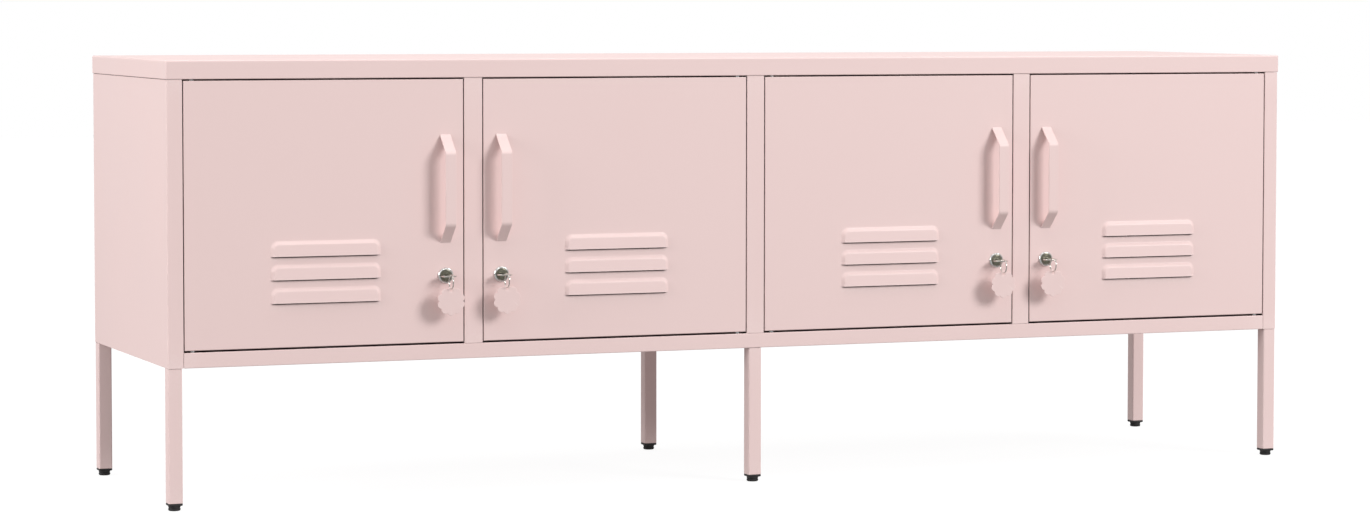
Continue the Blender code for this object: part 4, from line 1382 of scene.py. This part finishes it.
def square_leg(row, column):
    """The tube, inside and out, and its stud."""
    node = f"leg_{row}_{column}"
    low, high = corners(node)
    middle = (low + high) / 2
    half, inner = LEG_WIDTH / 2, LEG_WIDTH / 2 - LEG_WALL
    top = floor_low[2] - FIT
    bottom = low[2]
    edge = 0.0004
    tube = square_rings(
        [(inner, 0.0008, top - LEG_WALL), (inner, 0.0008, bottom), (half - edge, LEG_CORNER - edge, bottom),
         (half, LEG_CORNER, bottom + edge), (half, LEG_CORNER, bottom + 0.05), (half, LEG_CORNER, top - 0.05),
         (half, LEG_CORNER, top - edge), (half - edge, LEG_CORNER - edge, top)], middle
    )
    shells = [capped(tube)]
    shells.append(bar(STUD_RADIUS, top - LEG_WALL / 2, high[2], 2, middle))
    return finish(f"{node}_tube", merged(shells), powder_coat, node)


leg_places = [(row, column) for row in ("front", "rear") for column in ("left", "middle", "right")]
legs = [square_leg(row, column) for row, column in leg_places]
print("legs", [made.name for made in legs])

# %% Make the feet
FOOT_FLANGE = 0.0030
FOOT_RADIUS = 0.00875


def foot_insert(row, column):
    """Glide, flange and plug: a turned shell below and a shell of rounded squares above."""
    node = f"foot_{row}_{column}"
    low, high = corners(node)
    middle = (low + high) / 2
    half = (high[0] - low[0]) / 2
    flange_top = corners(f"leg_{row}_{column}")[0][2] - FIT
    flange_bottom = flange_top - FOOT_FLANGE
    glide = [(FOOT_RADIUS - 0.0022, 0.0), (FOOT_RADIUS - 0.0014, 0.00015), (FOOT_RADIUS - 0.0006, 0.0006),
             (FOOT_RADIUS - 0.0001, 0.0013), (FOOT_RADIUS, 0.0020), (FOOT_RADIUS, 0.0034),
             (FOOT_RADIUS - 0.0006, 0.0040), (FOOT_RADIUS - 0.0006, 0.0048), (FOOT_RADIUS, 0.0054),
             (FOOT_RADIUS, flange_bottom + 0.001)]
    glide = turned(glide, 48) + (middle[0], middle[1], low[2])
    shells = [capped(glide)]
    plug_half = half - LEG_WALL - FIT
    block = square_rings(
        [(half - 0.0008, LEG_CORNER, flange_bottom), (half - 0.0001, LEG_CORNER, flange_bottom + 0.0006),
         (half, LEG_CORNER, flange_bottom + 0.0012), (half, LEG_CORNER, flange_top - 0.0003),
         (half - 0.0003, LEG_CORNER, flange_top), (plug_half, 0.0012, flange_top),
         (plug_half, 0.0012, high[2] - 0.001), (plug_half - 0.0008, 0.0012, high[2])], middle
    )
    shells.append(capped(block))
    return finish(f"{node}_insert", merged(shells), foot_plastic, node)


feet = [foot_insert(row, column) for row, column in leg_places]
print("feet", [made.name for made in feet])

# %% [markdown]
# ## Floor and light
# The floor and the room are plain and nearly white, so only faint shadows show. One broad lamp high in front
# and to the right models the folds, a wide one above brightens the lid and the tops of the louvres, a third
# lights the left side, and the room itself fills in the rest. The room is darker in front, which gives
# the chrome something to reflect. The floor looks white but gives off much less light than it shows,
# so what stands under the body stays in shade.

# %% Lay the floor
FLOOR_SIZE = 14.0
FLOOR_DROP = 0.0002
FLOOR_CAST, FLOOR_SEEN = 0.30, 1.06  # brightness as a light and to the camera
FLOOR_MATT = 0.14  # share of plain matt white, which takes the shadows
floor_share = np.linspace(-FLOOR_SIZE, FLOOR_SIZE, 9)
floor_x, floor_y = np.meshgrid(floor_share, floor_share)
studio = surface(np.stack([floor_x, floor_y, floor_x * 0 - FLOOR_DROP], -1))
studio_floor = new_object("studio_floor", outward(studio, (0, 0, 1)))
floor_paint = bpy.data.materials.new("studio_floor")
floor_paint.use_nodes = True
tree = floor_paint.node_tree
tree.nodes.clear()
glow = add(tree, "ShaderNodeEmission")
glow.inputs["Color"].default_value = (1.0, 1.0, 1.0, 1.0)
seen = add(tree, "ShaderNodeLightPath").outputs["Is Camera Ray"]
wire(tree, remap(tree, seen, 0.0, 1.0, FLOOR_CAST, FLOOR_SEEN), glow.inputs["Strength"])
matt = add(tree, "ShaderNodeBsdfDiffuse")
matt.inputs["Color"].default_value = (0.9, 0.9, 0.9, 1.0)
share = add(tree, "ShaderNodeMixShader")
share.inputs["Fac"].default_value = FLOOR_MATT
sheet_out = add(tree, "ShaderNodeOutputMaterial")
wire(tree, glow.outputs[0], share.inputs[1])
wire(tree, matt.outputs[0], share.inputs[2])
wire(tree, share.outputs[0], sheet_out.inputs["Surface"])
studio_floor.data.materials.append(floor_paint)
print("floor", 2 * FLOOR_SIZE, "m across")

# %% Light the room
ROOM_STRENGTH = 0.65
world = bpy.data.worlds.new("studio")
bpy.context.scene.world = world
world.use_nodes = True
tree = world.node_tree
tree.nodes.clear()
direction = add(tree, "ShaderNodeSeparateXYZ")
wire(tree, add(tree, "ShaderNodeTexCoord").outputs["Generated"], direction.inputs["Vector"])
toward_front = remap(tree, direction.outputs["Y"], -1.0, 0.1, 0.55, 1.0)
toward_top = remap(tree, direction.outputs["Z"], 0.0, 1.0, 1.0, 1.5)
level = math_node(tree, "MULTIPLY", math_node(tree, "MULTIPLY", toward_front, toward_top), ROOM_STRENGTH)
seen = add(tree, "ShaderNodeLightPath").outputs["Is Camera Ray"]
strength = add(tree, "ShaderNodeMix", data_type="FLOAT")
wire(tree, seen, strength.inputs[0])
wire(tree, level, strength.inputs[2])
strength.inputs[3].default_value = 1.0
background = add(tree, "ShaderNodeBackground")
background.inputs["Color"].default_value = (1.0, 1.0, 1.0, 1.0)
wire(tree, strength.outputs[0], background.inputs["Strength"])
wire(tree, background.outputs[0], add(tree, "ShaderNodeOutputWorld").inputs["Surface"])


def soft_lamp(name, spot, aim, size, watts):
    """A square area lamp that looks from a spot to an aim."""
    data = bpy.data.lights.new(name, "AREA")
    data.shape = "SQUARE"
    data.size = size
    data.energy = watts
    lamp = bpy.data.objects.new(name, data)
    bpy.context.scene.collection.objects.link(lamp)
    lamp.location = spot
    lamp.rotation_euler = (Vector(aim) - Vector(spot)).to_track_quat("-Z", "Y").to_euler()


soft_lamp("key_lamp", (5.0, -7.0, 4.2), (0.0, 0.0, 0.4), 3.0, 515.0)
soft_lamp("top_lamp", (0.0, -0.4, 4.4), (0.0, 0.0, 0.4), 3.2, 32.0)
soft_lamp("side_lamp", (-5.0, -0.8, 1.8), (-0.9, 0.0, 0.4), 2.2, 120.0)
bpy.context.scene.view_settings.view_transform = "Standard"
bpy.context.scene.view_settings.look = "None"
print("lamps placed")
